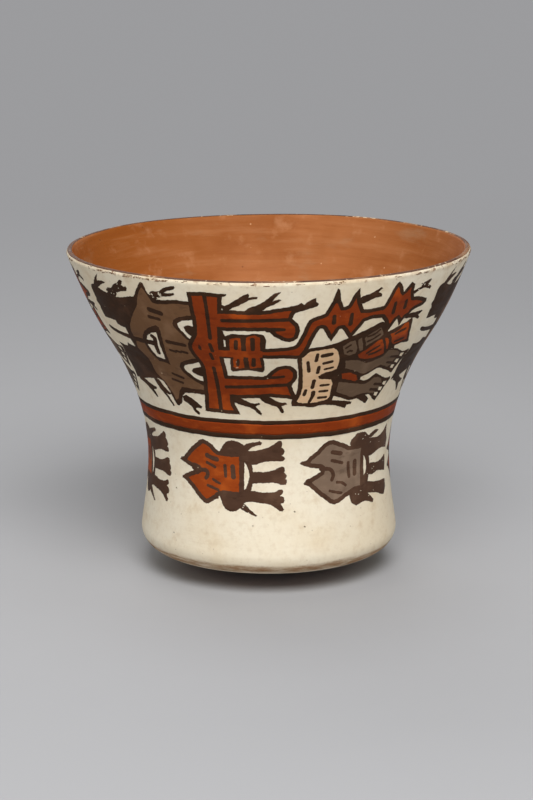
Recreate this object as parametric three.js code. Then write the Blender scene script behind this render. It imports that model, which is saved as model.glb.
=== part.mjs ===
// An open-neck cup of fired clay, built as a potter builds it: a pad for the bottom, a heel coil on its edge,
// coils luted one on another for a waisted wall that flares to a wide mouth, a rim coil, a coat of cream slip
// outside, a coat of orange slip inside, a dark line on the lip, and a red band between two dark lines.
// Millimetres, +Z up. The origin is the middle of the flat spot that the cup stands on.
import * as THREE from "three";

// Outline of the finished outer surface. A lean is in degrees from upright, and is positive outwards.
const CUP_HEIGHT = 145.5;
const RIM_RADIUS = 89.2;
const RIM_LEAN = 22;
const FLARE_RADIUS = 71.6; // where the wall leans out the most
const FLARE_DROP = 38.7; // how far that place lies below the lip
const FLARE_LEAN = 32.8;
const WAIST_RADIUS = 54.2; // the narrowest place, where the wall stands upright
const WAIST_HEIGHT = 52.4;
const HEEL_RADIUS = 57.6;
const HEEL_ROUNDING = 9;
const HEEL_LEAN = -8; // the wall draws in above the heel
const UNDERSIDE_SLOPE = 17; // of the underside, where the heel's rounding begins
const EASE_RADIUS = 25.4; // inside which the underside eases off to level
const REST_RADIUS = 14; // of the flat spot that the cup stands on

// Clay under the coats.
const FLOOR_THICKNESS = 12; // in the middle of the rounded bottom
const FLOOR_ROUNDING = 8; // between the floor and the wall, inside
const WALL_THICKNESS = 5.4; // at the heel, from where the wall thins evenly to the lip
const LIP_THICKNESS = 3; // with its coats
const HEEL_UPSTAND = 4; // of the heel coil, above the floor's rounding
const COIL_COUNT = 6;
const COIL_LAP = 4; // how far a coil laps down inside the one below it
const RIM_COIL_HEIGHT = 13;

// Coats of slip and paint.
const OUTER_SLIP = 0.3;
const INNER_SLIP = 0.3;
const LIP_PAINT = 0.3;
const LIP_LINE_START = 80; // degrees round the lip, from its outer edge, where the dark line begins
const LIP_LINE_END = 130; // where the dark line ends and the inner slip begins
const BAND_PAINT = 0.2;
const BARE_RISE = 7; // the outer slip stops this far above what the cup stands on

// The painted band round the waist, from the lower edge of its lower line.
const BAND_HEIGHT = 71.1;
const LOWER_LINE_WIDTH = 1.9;
const RED_WIDTH = 5.1;
const UPPER_LINE_WIDTH = 1.6;

// How finely the round shapes are divided.
const SIDES = 48;
const COIL_STEPS = 2;
const HEEL_STEPS = 2; // below and above the pad's upper face
const FLOOR_STEPS = 4;
const LIP_STEPS = 3; // of each slip's share of the lip, and of the dark line
const FITTING_PASSES = 20; // to find where the floor's rounding meets the wall

const CLAY = new THREE.MeshStandardMaterial({ color: 0xb4713f, roughness: 0.9, metalness: 0 });
const CREAM_SLIP = new THREE.MeshStandardMaterial({ color: 0xe2d3b5, roughness: 0.6, metalness: 0 });
const ORANGE_SLIP = new THREE.MeshStandardMaterial({ color: 0xb06c3a, roughness: 0.55, metalness: 0 });
const RED_PAINT = new THREE.MeshStandardMaterial({ color: 0x8c3716, roughness: 0.5, metalness: 0 });
const DARK_PAINT = new THREE.MeshStandardMaterial({ color: 0x3c2a20, roughness: 0.55, metalness: 0 });

const radians = THREE.MathUtils.degToRad;
const direction = (angle) => new THREE.Vector2(Math.cos(angle), Math.sin(angle));
const around = (centre, radius, angle) => centre.clone().addScaledVector(direction(angle), radius);

// A place on the finished outer surface is a point of the outline and the angle of its outward normal.
// A layer under that surface is reached by going in along the normal.
const inward = (place, depth) => around(place.point, -depth, place.normal);

// The lip is a half round as thick as the wall there.
const lipRadius = LIP_THICKNESS / 2;
const lipCentre = new THREE.Vector2(RIM_RADIUS - lipRadius, CUP_HEIGHT - lipRadius);
const wallTop = around(lipCentre, lipRadius, -radians(RIM_LEAN));

// The heel is an arc that the underside meets at its own slope.
const heelStart = radians(UNDERSIDE_SLOPE) - Math.PI / 2;
const heelEnd = -radians(HEEL_LEAN);
const heelCentreRadius = HEEL_RADIUS - HEEL_ROUNDING;
const undersideRadius = heelCentreRadius + HEEL_ROUNDING * Math.cos(heelStart);
const undersideSlope = Math.tan(radians(UNDERSIDE_SLOPE));
const easeRise = ((EASE_RADIUS - REST_RADIUS) * undersideSlope) / 2;
const undersideRise = easeRise + (undersideRadius - EASE_RADIUS) * undersideSlope;
const heelCentre = new THREE.Vector2(heelCentreRadius, undersideRise - HEEL_ROUNDING * Math.sin(heelStart));
const wallFoot = around(heelCentre, HEEL_ROUNDING, heelEnd);

// The underside slopes straight down from the heel and eases off in a parabola to the flat spot.
function undersidePlace(rise) {
  const along = Math.min(1, Math.sqrt(rise / easeRise));
  const straight = Math.max(0, rise - easeRise) / undersideSlope;
  const radius = THREE.MathUtils.lerp(REST_RADIUS, EASE_RADIUS, along) + straight;
  return { point: new THREE.Vector2(radius, rise), normal: Math.atan(along * undersideSlope) - Math.PI / 2 };
}

// The wall is a smooth curve through four knots, each with its own lean.
const wallKnots = [
  { point: wallFoot, lean: HEEL_LEAN },
  { point: new THREE.Vector2(WAIST_RADIUS, WAIST_HEIGHT), lean: 0 },
  { point: new THREE.Vector2(FLARE_RADIUS, CUP_HEIGHT - FLARE_DROP), lean: FLARE_LEAN },
  { point: wallTop, lean: RIM_LEAN },
];

function wallPlace(height) {
  const last = wallKnots.length - 2;
  const found = wallKnots.findIndex((knot, i) => i <= last && height <= wallKnots[i + 1].point.y);
  const span = found < 0 ? last : found;
  const [low, high] = [wallKnots[span], wallKnots[span + 1]];
  const rise = high.point.y - low.point.y;
  const t = (height - low.point.y) / rise;
  const lowSlope = Math.tan(radians(low.lean));
  const highSlope = Math.tan(radians(high.lean));
  const radius =
    low.point.x * (2 * t ** 3 - 3 * t ** 2 + 1) +
    high.point.x * (3 * t ** 2 - 2 * t ** 3) +
    rise * (lowSlope * (t ** 3 - 2 * t ** 2 + t) + highSlope * (t ** 3 - t ** 2));
  const slope =
    ((high.point.x - low.point.x) / rise) * (6 * t - 6 * t ** 2) +
    lowSlope * (3 * t ** 2 - 4 * t + 1) +
    highSlope * (3 * t ** 2 - 2 * t);
  return { point: new THREE.Vector2(radius, height), normal: -Math.atan(slope) };
}

// Clay thickness at a height of the outer surface.
function clayThickness(height) {
  const lipClay = LIP_THICKNESS - OUTER_SLIP - INNER_SLIP;
  return THREE.MathUtils.mapLinear(height, wallFoot.y, wallTop.y, WALL_THICKNESS, lipClay);
}

const clayOutside = (height) => inward(wallPlace(height), OUTER_SLIP);
const clayInside = (height) => inward(wallPlace(height), OUTER_SLIP + clayThickness(height));
const inside = (height) => inward(wallPlace(height), OUTER_SLIP + clayThickness(height) + INNER_SLIP);

// The height at which the floor's rounding, raised to the floor, runs into the wall.
function floorRoundingTop() {
  let height = wallFoot.y;
  for (let pass = 0; pass < FITTING_PASSES; pass += 1) {
    const { normal } = wallPlace(height);
    const depth = OUTER_SLIP + clayThickness(height) + FLOOR_ROUNDING;
    height = FLOOR_THICKNESS + FLOOR_ROUNDING + depth * Math.sin(normal);
  }
  return height;
}

// Heights of the outer surface that divide the wall's coils, from the heel coil to the rim coil, and the
// ones among them where a coil meets the next.
const roundingTop = floorRoundingTop();
const heelTop = roundingTop + HEEL_UPSTAND + COIL_LAP;
const rimJoint = CUP_HEIGHT - RIM_COIL_HEIGHT;
const coilDivisions = COIL_COUNT * COIL_STEPS;
const coilHeights = Array.from({ length: coilDivisions + 1 }, (_, i) =>
  THREE.MathUtils.lerp(heelTop, rimJoint, i / coilDivisions),
);
const joints = coilHeights.filter((_, i) => i % COIL_STEPS === 0);

// Heights of the edges of the painted lines and of the band between them.
const bandEdges = [LOWER_LINE_WIDTH, RED_WIDTH, UPPER_LINE_WIDTH].reduce(
  (edges, width) => [...edges, edges.at(-1) + width],
  [BAND_HEIGHT],
);

// Every layer takes its corners from the same heights, so neighbours meet face to face.
const sorted = (heights) => [...new Set(heights)].sort((a, b) => a - b);
const outerHeights = sorted([wallFoot.y, ...coilHeights, ...bandEdges, wallTop.y]);
const innerHeights = sorted([roundingTop, ...coilHeights.map((height) => height - COIL_LAP), wallTop.y]);
const between = (heights, low, high) => heights.filter((height) => height >= low && height <= high);

// Points of an arc, both ends included.
const arc = (centre, radius, start, end, steps) =>
  Array.from({ length: steps + 1 }, (_, i) =>
    around(centre, radius, THREE.MathUtils.lerp(start, end, i / steps)),
  );

// The underside and the heel, some way in from the finished surface, from the slip's lower edge upwards.
// They are divided where the upper face of the pad comes out under the slip.
const slipEdge = undersidePlace(BARE_RISE);
const padSeam = Math.asin((FLOOR_THICKNESS - heelCentre.y) / (HEEL_ROUNDING - OUTER_SLIP));
const lowerHeel = (depth) => [
  inward(slipEdge, depth),
  ...arc(heelCentre, HEEL_ROUNDING - depth, heelStart, padSeam, HEEL_STEPS),
];
const upperHeel = (depth) => arc(heelCentre, HEEL_ROUNDING - depth, padSeam, heelEnd, HEEL_STEPS);

// The rounding between the floor and the wall, some way in from the clay, from the floor upwards.
const roundingPlace = wallPlace(roundingTop);
const roundingDepth = OUTER_SLIP + clayThickness(roundingTop) + FLOOR_ROUNDING;
const roundingCentre = inward(roundingPlace, roundingDepth);
const floorRounding = (depth) =>
  arc(roundingCentre, FLOOR_ROUNDING - depth, -Math.PI / 2, roundingPlace.normal, FLOOR_STEPS);

// The lip over the top of the wall, some way in from its surface: the outer slip's share, then the dark
// line's, then the inner slip's.
const lipStart = -radians(RIM_LEAN);
const lipLineStart = lipStart + radians(LIP_LINE_START);
const lipLineEnd = lipStart + radians(LIP_LINE_END);
const lipSlip = (depth) => arc(lipCentre, lipRadius - depth, lipStart, lipLineStart, LIP_STEPS);
const lipLine = (depth) => arc(lipCentre, lipRadius - depth, lipLineStart, lipLineEnd, LIP_STEPS);
const lipInside = (depth) => arc(lipCentre, lipRadius - depth, lipLineEnd, lipStart + Math.PI, LIP_STEPS);

// A solid turned on the cup's axis from an outline that runs anticlockwise in the plane of radius and height.
function turned(name, outline, material) {
  const tooClose = 1e-6;
  const points = outline.filter((point, i) => i === 0 || point.distanceTo(outline[i - 1]) > tooClose);
  const onAxis = points[0].x === 0;
  const loop = onAxis ? points : [...points, points[0]];
  const geometry = new THREE.LatheGeometry(loop, SIDES).rotateX(Math.PI / 2);
  const mesh = new THREE.Mesh(geometry, material.clone());
  mesh.name = name;
  return mesh;
}

function basePad() {
  return turned(
    "base_pad",
    [
      new THREE.Vector2(0, 0),
      new THREE.Vector2(REST_RADIUS, 0),
      undersidePlace(easeRise).point,
      slipEdge.point,
      ...lowerHeel(OUTER_SLIP),
      floorRounding(0)[0],
      new THREE.Vector2(0, FLOOR_THICKNESS),
    ],
    CLAY,
  );
}

// The heel coil stands on the edge of the pad and is smoothed into the floor.
function heelCoil() {
  const top = joints[0];
  return turned(
    "heel_coil",
    [
      ...upperHeel(OUTER_SLIP),
      ...between(outerHeights, wallFoot.y, top).map(clayOutside),
      ...between(innerHeights, roundingTop, top - COIL_LAP).map(clayInside).reverse(),
      ...floorRounding(0).reverse(),
    ],
    CLAY,
  );
}

// Each coil's foot slopes down inwards on to the coil below, and its top takes the next one the same way.
function wallCoil(number) {
  const [low, high] = [joints[number - 1], joints[number]];
  return turned(
    `wall_coil_${number}`,
    [
      ...between(outerHeights, low, high).map(clayOutside),
      ...between(innerHeights, low - COIL_LAP, high - COIL_LAP).map(clayInside).reverse(),
    ],
    CLAY,
  );
}

function rimCoil() {
  return turned(
    "rim_coil",
    [
      ...between(outerHeights, rimJoint, wallTop.y).map(clayOutside),
      ...lipSlip(OUTER_SLIP),
      ...lipLine(LIP_PAINT),
      ...lipInside(INNER_SLIP),
      ...between(innerHeights, rimJoint - COIL_LAP, wallTop.y).map(clayInside).reverse(),
    ],
    CLAY,
  );
}

function outerSlipCoat() {
  const finished = outerHeights.map((height) => wallPlace(height).point);
  return turned(
    "outer_slip_coat",
    [
      ...lowerHeel(0),
      ...upperHeel(0),
      ...finished,
      ...lipSlip(0),
      ...lipSlip(OUTER_SLIP).reverse(),
      ...outerHeights.map(clayOutside).reverse(),
      ...upperHeel(OUTER_SLIP).reverse(),
      ...lowerHeel(OUTER_SLIP).reverse(),
    ],
    CREAM_SLIP,
  );
}

function innerSlipCoat() {
  return turned(
    "inner_slip_coat",
    [
      new THREE.Vector2(0, FLOOR_THICKNESS),
      ...floorRounding(0),
      ...innerHeights.map(clayInside),
      ...lipInside(INNER_SLIP).reverse(),
      ...lipInside(0),
      ...innerHeights.map(inside).reverse(),
      ...floorRounding(INNER_SLIP).reverse(),
      new THREE.Vector2(0, FLOOR_THICKNESS + INNER_SLIP),
    ],
    ORANGE_SLIP,
  );
}

function lipPaint() {
  return turned("lip_paint", [...lipLine(0), ...lipLine(LIP_PAINT).reverse()], DARK_PAINT);
}

function bandRing(name, edge, material) {
  const heights = between(outerHeights, bandEdges[edge], bandEdges[edge + 1]);
  return turned(
    name,
    [
      ...heights.map((height) => inward(wallPlace(height), -BAND_PAINT)),
      ...heights.map((height) => wallPlace(height).point).reverse(),
    ],
    material,
  );
}

const cup = new THREE.Group();
cup.name = "open_neck_cup";
cup.add(basePad());
cup.add(heelCoil());
for (let number = 1; number <= COIL_COUNT; number += 1) cup.add(wallCoil(number));
cup.add(rimCoil());
cup.add(outerSlipCoat());
cup.add(innerSlipCoat());
cup.add(lipPaint());
cup.add(bandRing("band_lower_line", 0, DARK_PAINT));
cup.add(bandRing("band_red", 1, RED_PAINT));
cup.add(bandRing("band_upper_line", 2, DARK_PAINT));

export default cup;
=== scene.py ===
import math

import bpy
import numpy as np
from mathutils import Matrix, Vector
from mathutils.geometry import delaunay_2d_cdt


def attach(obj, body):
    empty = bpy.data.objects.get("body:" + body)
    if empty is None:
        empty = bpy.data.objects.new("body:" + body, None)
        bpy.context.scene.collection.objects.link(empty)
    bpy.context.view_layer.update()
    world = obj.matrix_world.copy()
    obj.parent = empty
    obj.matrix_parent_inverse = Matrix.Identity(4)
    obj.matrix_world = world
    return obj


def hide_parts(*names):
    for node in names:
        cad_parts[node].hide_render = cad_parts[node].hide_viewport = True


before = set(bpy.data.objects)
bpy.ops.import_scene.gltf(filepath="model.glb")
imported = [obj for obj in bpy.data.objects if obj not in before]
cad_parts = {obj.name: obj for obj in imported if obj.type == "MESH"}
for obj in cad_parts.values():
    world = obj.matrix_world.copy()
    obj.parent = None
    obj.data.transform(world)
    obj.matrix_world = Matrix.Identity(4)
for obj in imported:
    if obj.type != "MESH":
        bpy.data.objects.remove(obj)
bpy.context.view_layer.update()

# Sizes of the cup in millimetres and leans in degrees from upright, as its solids have them.
MM = 0.001
CUP_HEIGHT = 145.5
RIM_RADIUS = 89.2
RIM_LEAN = 22
FLARE_RADIUS = 71.6
FLARE_DROP = 38.7
FLARE_LEAN = 32.8
WAIST_RADIUS = 54.2
WAIST_HEIGHT = 52.4
HEEL_RADIUS = 57.6
HEEL_ROUNDING = 9
HEEL_LEAN = -8
UNDERSIDE_SLOPE = 17
EASE_RADIUS = 25.4
REST_RADIUS = 14
FLOOR_THICKNESS = 12
FLOOR_ROUNDING = 8
WALL_THICKNESS = 5.4
LIP_THICKNESS = 3
HEEL_UPSTAND = 4
COIL_COUNT = 6
COIL_LAP = 4
RIM_COIL_HEIGHT = 13
SLIP = 0.3
LIP_LINE_START = 80
LIP_LINE_END = 130
LIP_SPREAD = 14
BARE_RISE = 7
BAND_EDGES = (71.1, 73.0, 78.1, 79.7)

# How finely the turned pieces are divided: columns round the cup, and steps and gaps in millimetres.
FINE_COLUMNS = 360
CLAY_COLUMNS = 120
BAND_COLUMNS = 720
FINE_STEP = 1.2
BACK_STEP = FINE_STEP * 3
BAND_STEP = 0.8
CURVE_STEP = 0.5
CLAY_STEP = 6
SEAM_GAP = 0.001
FITTING_PASSES = 20

# Hand work in millimetres, the mouth's rise for each millimetre to the right, and how late it sets in.
UNEVENNESS = 1.1
MOUTH_TILT = 0.0072
TILT_POWER = 8.0
BAND_WAVER = 1.3
LINE_SPREAD = 0.25
BRUSH_WANDER = 0.35
EDGE_ROUGHNESS = 0.09
PAINT_TOP = 0.12
PAINT_EDGE = 0.06
PAINT_BOTTOM = -0.08

# Noise that moves the hand: how fine it is, and how far aside it is read so that no two patterns agree.
SWELL_SCALE = 16.0
LIFT_SCALE = 13.0
LIFT_ASIDE = (3.1, 1.7, 0.4)
BRUSH_SCALE = 90.0
BRUSH_ASIDE = (0.7, 5.2, 2.3)
WANDER_SCALE = 3.2
WANDER_ASIDE = (4.0, 2.0, 7.0)
WANDER_STRETCH = 14.0

# Height on the cup from which the drawing counts its own heights, in millimetres.
DRAWING_FOOT = 7


# Outline of the cup, in the plane of radius and height.

def around(centre, radius, angle):
    return np.array(centre) + radius * np.array((math.cos(angle), math.sin(angle)))


def arc(centre, radius, start, end, steps):
    return [around(centre, radius, start + (end - start) * i / steps) for i in range(steps + 1)]


lip_radius = LIP_THICKNESS / 2
lip_centre = np.array((RIM_RADIUS - lip_radius, CUP_HEIGHT - lip_radius))
lip_start = -math.radians(RIM_LEAN)
lip_line_start = lip_start + math.radians(LIP_LINE_START)
lip_line_end = lip_start + math.radians(LIP_LINE_END)
lip_end = lip_start + math.pi
wall_top = around(lip_centre, lip_radius, lip_start)


def lip_arc(depth, start, end, steps):
    return arc(lip_centre, lip_radius - depth, start, end, steps)


heel_start = math.radians(UNDERSIDE_SLOPE) - math.pi / 2
heel_end = -math.radians(HEEL_LEAN)
heel_centre_radius = HEEL_RADIUS - HEEL_ROUNDING
underside_radius = heel_centre_radius + HEEL_ROUNDING * math.cos(heel_start)
underside_slope = math.tan(math.radians(UNDERSIDE_SLOPE))
ease_rise = (EASE_RADIUS - REST_RADIUS) * underside_slope / 2
underside_rise = ease_rise + (underside_radius - EASE_RADIUS) * underside_slope
heel_centre = np.array((heel_centre_radius, underside_rise - HEEL_ROUNDING * math.sin(heel_start)))
wall_foot = around(heel_centre, HEEL_ROUNDING, heel_end)
pad_seam = math.asin((FLOOR_THICKNESS - heel_centre[1]) / (HEEL_ROUNDING - SLIP))

WALL_KNOTS = (
    (wall_foot[0], wall_foot[1], HEEL_LEAN),
    (WAIST_RADIUS, WAIST_HEIGHT, 0),
    (FLARE_RADIUS, CUP_HEIGHT - FLARE_DROP, FLARE_LEAN),
    (wall_top[0], wall_top[1], RIM_LEAN),
)


def curve_shares(t):
    """Shares of both ends and of both directions, part of the way along a smooth curve."""
    return 2 * t**3 - 3 * t**2 + 1, 3 * t**2 - 2 * t**3, t**3 - 2 * t**2 + t, t**3 - t**2


def wall_place(height):
    """The point of the finished outer wall at a height, and the angle of its outward normal."""
    spans = list(zip(WALL_KNOTS, WALL_KNOTS[1:]))
    low, high = next((span for span in spans if height <= span[1][1]), spans[-1])
    rise = high[1] - low[1]
    t = (height - low[1]) / rise
    low_slope = math.tan(math.radians(low[2]))
    high_slope = math.tan(math.radians(high[2]))
    at_low, at_high, leaving, arriving = curve_shares(t)
    radius = low[0] * at_low + high[0] * at_high
    radius += rise * (low_slope * leaving + high_slope * arriving)
    slope = (high[0] - low[0]) / rise * (6 * t - 6 * t**2)
    slope += low_slope * (3 * t**2 - 4 * t + 1) + high_slope * (3 * t**2 - 2 * t)
    return np.array((radius, height)), -math.atan(slope)


def under_wall(height, depth):
    point, normal = wall_place(height)
    return around(point, -depth, normal)


def clay_thickness(height):
    share = (height - wall_foot[1]) / (wall_top[1] - wall_foot[1])
    return WALL_THICKNESS + (LIP_THICKNESS - 2 * SLIP - WALL_THICKNESS) * share


def underside_place(rise):
    along = min(1, math.sqrt(rise / ease_rise))
    straight = max(0, rise - ease_rise) / underside_slope
    radius = REST_RADIUS + (EASE_RADIUS - REST_RADIUS) * along + straight
    return np.array((radius, rise)), math.atan(along * underside_slope) - math.pi / 2


def floor_rounding_top():
    height = wall_foot[1]
    for _ in range(FITTING_PASSES):
        depth = SLIP + clay_thickness(height) + FLOOR_ROUNDING
        height = FLOOR_THICKNESS + FLOOR_ROUNDING + depth * math.sin(wall_place(height)[1])
    return height


rounding_top = floor_rounding_top()
rounding_centre = under_wall(rounding_top, SLIP + clay_thickness(rounding_top) + FLOOR_ROUNDING)
coil_start = rounding_top + HEEL_UPSTAND + COIL_LAP
coil_end = CUP_HEIGHT - RIM_COIL_HEIGHT
coil_joints = [coil_start + (coil_end - coil_start) * i / COIL_COUNT for i in range(COIL_COUNT + 1)]


def heights_between(low, high, step):
    return np.linspace(low, high, max(1, math.ceil((high - low) / step)) + 1)


def wall_outside(step):
    return [wall_place(height)[0] for height in heights_between(wall_foot[1], wall_top[1], step)]


def clay_outside(low, high, step=CLAY_STEP):
    return [under_wall(height, SLIP) for height in heights_between(low, high, step)]


def clay_inside(low, high, step=CLAY_STEP, depth=0):
    heights = heights_between(low, high, step)
    return [under_wall(height, SLIP + clay_thickness(height) + depth) for height in heights]


def heel(depth, steps):
    """The underside from the lower edge of the slip and the heel, some way in from the surface."""
    rises = np.linspace(BARE_RISE, underside_rise, steps)[:-1]
    places = [underside_place(rise) for rise in rises]
    below = [around(point, -depth, normal) for point, normal in places]
    return below + arc(heel_centre, HEEL_ROUNDING - depth, heel_start, heel_end, steps)


def floor_rounding(depth, steps):
    end = wall_place(rounding_top)[1]
    return arc(rounding_centre, FLOOR_ROUNDING - depth, -math.pi / 2, end, steps)


def pad_outline():
    slip_edge, slip_edge_normal = underside_place(BARE_RISE)
    bottom = [(radius, 0) for radius in np.linspace(0, REST_RADIUS, num=6)]
    rising = [underside_place(rise)[0] for rise in BARE_RISE * np.linspace(0, 1, num=16)[1:] ** 2]
    side = arc(heel_centre, HEEL_ROUNDING - SLIP, heel_start, pad_seam, steps=4)
    top = [(radius, FLOOR_THICKNESS) for radius in (rounding_centre[0], rounding_centre[0] / 2, 0)]
    return bottom + rising + [around(slip_edge, -SLIP, slip_edge_normal)] + side + top


def heel_coil_outline():
    outer = arc(heel_centre, HEEL_ROUNDING - SLIP, pad_seam, heel_end, steps=6)
    outer += clay_outside(wall_foot[1], coil_start)[1:]
    inner = clay_inside(rounding_top, coil_start - COIL_LAP)[::-1]
    return outer + inner + floor_rounding(0, steps=6)[::-1][1:]


def wall_coil_outline(number):
    low, high = coil_joints[number - 1], coil_joints[number]
    return clay_outside(low, high) + clay_inside(low - COIL_LAP, high - COIL_LAP)[::-1]


def rim_coil_outline():
    lip = lip_arc(SLIP, lip_start, lip_end, steps=8)
    inner = clay_inside(coil_end - COIL_LAP, wall_top[1])[::-1]
    return clay_outside(coil_end, wall_top[1])[:-1] + lip + inner[1:]


def outer_slip_outline():
    lip = lip_arc(0, lip_start, lip_line_start, steps=8)
    lip_back = lip_arc(SLIP, lip_start, lip_line_start, steps=4)[::-1]
    wall_back = clay_outside(wall_foot[1], wall_top[1], BACK_STEP)[::-1]
    outer = heel(0, steps=12) + wall_outside(FINE_STEP)[1:] + lip[1:]
    return outer + lip_back + wall_back[1:] + heel(SLIP, steps=6)[::-1][1:]


def inner_slip_outline():
    edge = rounding_centre[0]
    floor = [(radius, FLOOR_THICKNESS) for radius in np.linspace(0, edge, num=8)]
    wall_back = clay_inside(rounding_top, wall_top[1], BACK_STEP)
    outer = floor + floor_rounding(0, steps=6)[1:] + wall_back[1:]
    lip_back = lip_arc(SLIP, lip_end, lip_line_end, steps=4)[1:]
    lip = lip_arc(0, lip_line_end, lip_end, steps=6)
    wall = lip + clay_inside(rounding_top, wall_top[1], FINE_STEP, SLIP)[::-1][1:]
    rounding = floor_rounding(SLIP, steps=10)[::-1]
    top = [(radius, FLOOR_THICKNESS + SLIP) for radius in np.linspace(edge, 0, num=20)]
    return outer + lip_back + wall + rounding[1:] + top[1:]


def lip_line_outline():
    spread = math.radians(LIP_SPREAD)
    start, end = lip_line_start - spread, lip_line_end + spread
    outer = lip_arc(-PAINT_EDGE, start, end, steps=10)
    return outer + lip_arc(-PAINT_BOTTOM, start, end, steps=6)[::-1]


def band_outline(low, high):
    heights = heights_between(low, high, BAND_STEP)
    outer = [under_wall(height, -PAINT_TOP) for height in heights]
    return outer + [under_wall(height, -PAINT_BOTTOM) for height in heights[::-1]]


def wall_curve():
    """The finished surface that carries the painting, from the wall's foot over the lip."""
    return np.array(wall_outside(CURVE_STEP) + lip_arc(0, lip_start, lip_line_start, steps=8)[1:])


# Node trees, written as expressions.

class Wire:
    """An output socket of a node. Arithmetic on it adds Math nodes to its tree."""

    def __init__(self, graph, socket):
        self.graph = graph
        self.socket = socket

    def also(self, output):
        return Wire(self.graph, self.socket.node.outputs[output])

    def __add__(self, other):
        return self.graph.math("ADD", self, other)

    def __sub__(self, other):
        return self.graph.math("SUBTRACT", self, other)

    def __rsub__(self, other):
        return self.graph.math("SUBTRACT", other, self)

    def __mul__(self, other):
        return self.graph.math("MULTIPLY", self, other)

    def __truediv__(self, other):
        return self.graph.math("DIVIDE", self, other)

    def __rtruediv__(self, other):
        return self.graph.math("DIVIDE", other, self)

    __radd__ = __add__
    __rmul__ = __mul__


class Graph:
    """A node tree that nodes are added to by type."""

    def __init__(self, tree):
        self.tree = tree

    def add(self, kind, inputs=(), output=0, captures=(), **settings):
        """Adds a node, sets it up, links or fills its sockets, and gives one of its outputs."""
        node = self.tree.nodes.new(kind)
        for key, value in settings.items():
            setattr(node, key, value)
        for form, label in captures:
            node.capture_items.new(form, label)
        pairs = inputs.items() if isinstance(inputs, dict) else enumerate(inputs)
        for key, value in pairs:
            if isinstance(value, Wire):
                self.tree.links.new(value.socket, node.inputs[key])
            else:
                node.inputs[key].default_value = value
        return Wire(self, node.outputs[output]) if node.outputs else None

    def math(self, operation, *values):
        return self.add("ShaderNodeMath", values, operation=operation)

    def vector(self, x, y, z):
        return self.add("ShaderNodeCombineXYZ", (x, y, z))

    def vector_math(self, operation, *values):
        return self.add("ShaderNodeVectorMath", values, operation=operation)

    def parts(self, vector):
        first = self.add("ShaderNodeSeparateXYZ", (vector,))
        return first, first.also(1), first.also(2)

    def noise(self, place, scale, detail=2.0, roughness=0.5):
        inputs = {"Vector": place, "Scale": scale, "Detail": detail, "Roughness": roughness}
        return self.add("ShaderNodeTexNoise", inputs)

    def sway(self, place, scale, detail=1.0, roughness=0.5, aside=(0.0, 0.0, 0.0)):
        """Noise to either side of nought."""
        there = self.vector_math("ADD", place, aside)
        return self.noise(there, scale, detail, roughness) - 0.5

    def ramp(self, value, low, high, start=0.0, end=1.0):
        """Goes smoothly from start to end as a value goes from low to high."""
        values = (value, low, high, start, end)
        return self.add("ShaderNodeMapRange", values, interpolation_type="SMOOTHSTEP")


# Geometry trees that turn and lay pieces on the cup.

def new_geometry_tree(name, sockets):
    tree = bpy.data.node_groups.new(name, "GeometryNodeTree")
    tree.interface.new_socket("Geometry", in_out="INPUT", socket_type="NodeSocketGeometry")
    for label, kind in sockets:
        tree.interface.new_socket(label, in_out="INPUT", socket_type=kind)
    tree.interface.new_socket("Geometry", in_out="OUTPUT", socket_type="NodeSocketGeometry")
    return Graph(tree)


def hand_place(graph, radius, angle, height, unevenness, waver):
    """A place on the cup, moved a little from true as hand building and brushing leave it."""
    sine = graph.math("SINE", angle)
    cosine = graph.math("COSINE", angle)
    ideal = graph.vector(radius * sine, radius * cosine * -1, height - DRAWING_FOOT * MM)
    swell = graph.sway(ideal, SWELL_SCALE)
    lift = graph.sway(ideal, LIFT_SCALE, aside=LIFT_ASIDE)
    brush = graph.sway(ideal, BRUSH_SCALE, detail=3.0, roughness=0.6, aside=BRUSH_ASIDE)
    share = height / (CUP_HEIGHT * MM)
    true_radius = radius + swell * unevenness
    tilt = radius * sine * MOUTH_TILT * graph.math("POWER", share, TILT_POWER)
    true_height = height + lift * unevenness * share * share + tilt + brush * waver
    return graph.vector(true_radius * sine, true_radius * cosine * -1, true_height)


def turning_tree():
    """Turns an outline, drawn as edges in the plane of x and z, into a solid round the cup's axis."""
    graph = new_geometry_tree("turned round the axis", (
        ("Columns", "NodeSocketInt"), ("Unevenness", "NodeSocketFloat"),
        ("Waver", "NodeSocketFloat"), ("Finish", "NodeSocketMaterial")))
    given = graph.add("NodeGroupInput")
    columns, unevenness, waver, finish = (given.also(i) for i in range(1, 5))
    position = graph.add("GeometryNodeInputPosition")
    outline = graph.add("GeometryNodeMeshToCurve", (given,))
    outline = graph.add("GeometryNodeCaptureAttribute", {0: outline, 1: position},
                        captures=(("VECTOR", "Outline"),))
    circle = graph.add("GeometryNodeCurvePrimitiveCircle", {"Resolution": columns, "Radius": 1.0})
    turn = graph.add("GeometryNodeInputIndex") * math.tau / columns
    circle = graph.add("GeometryNodeCaptureAttribute", {0: circle, 1: turn}, captures=(("FLOAT", "Angle"),))
    solid = graph.add("GeometryNodeCurveToMesh", {"Curve": circle, "Profile Curve": outline})
    radius, _, height = graph.parts(outline.also(1))
    place = hand_place(graph, radius, circle.also(1), height, unevenness, waver)
    solid = graph.add("GeometryNodeSetPosition", {"Geometry": solid, "Position": place})
    solid = graph.add("GeometryNodeMergeByDistance", {"Geometry": solid, "Distance": SEAM_GAP * MM})
    solid = graph.add("GeometryNodeSetShadeSmooth", (solid,))
    solid = graph.add("GeometryNodeRealizeInstances", (solid,))
    solid = graph.add("GeometryNodeSetMaterial", {"Geometry": solid, "Material": finish})
    graph.add("NodeGroupOutput", (solid,))
    return graph.tree


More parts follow.
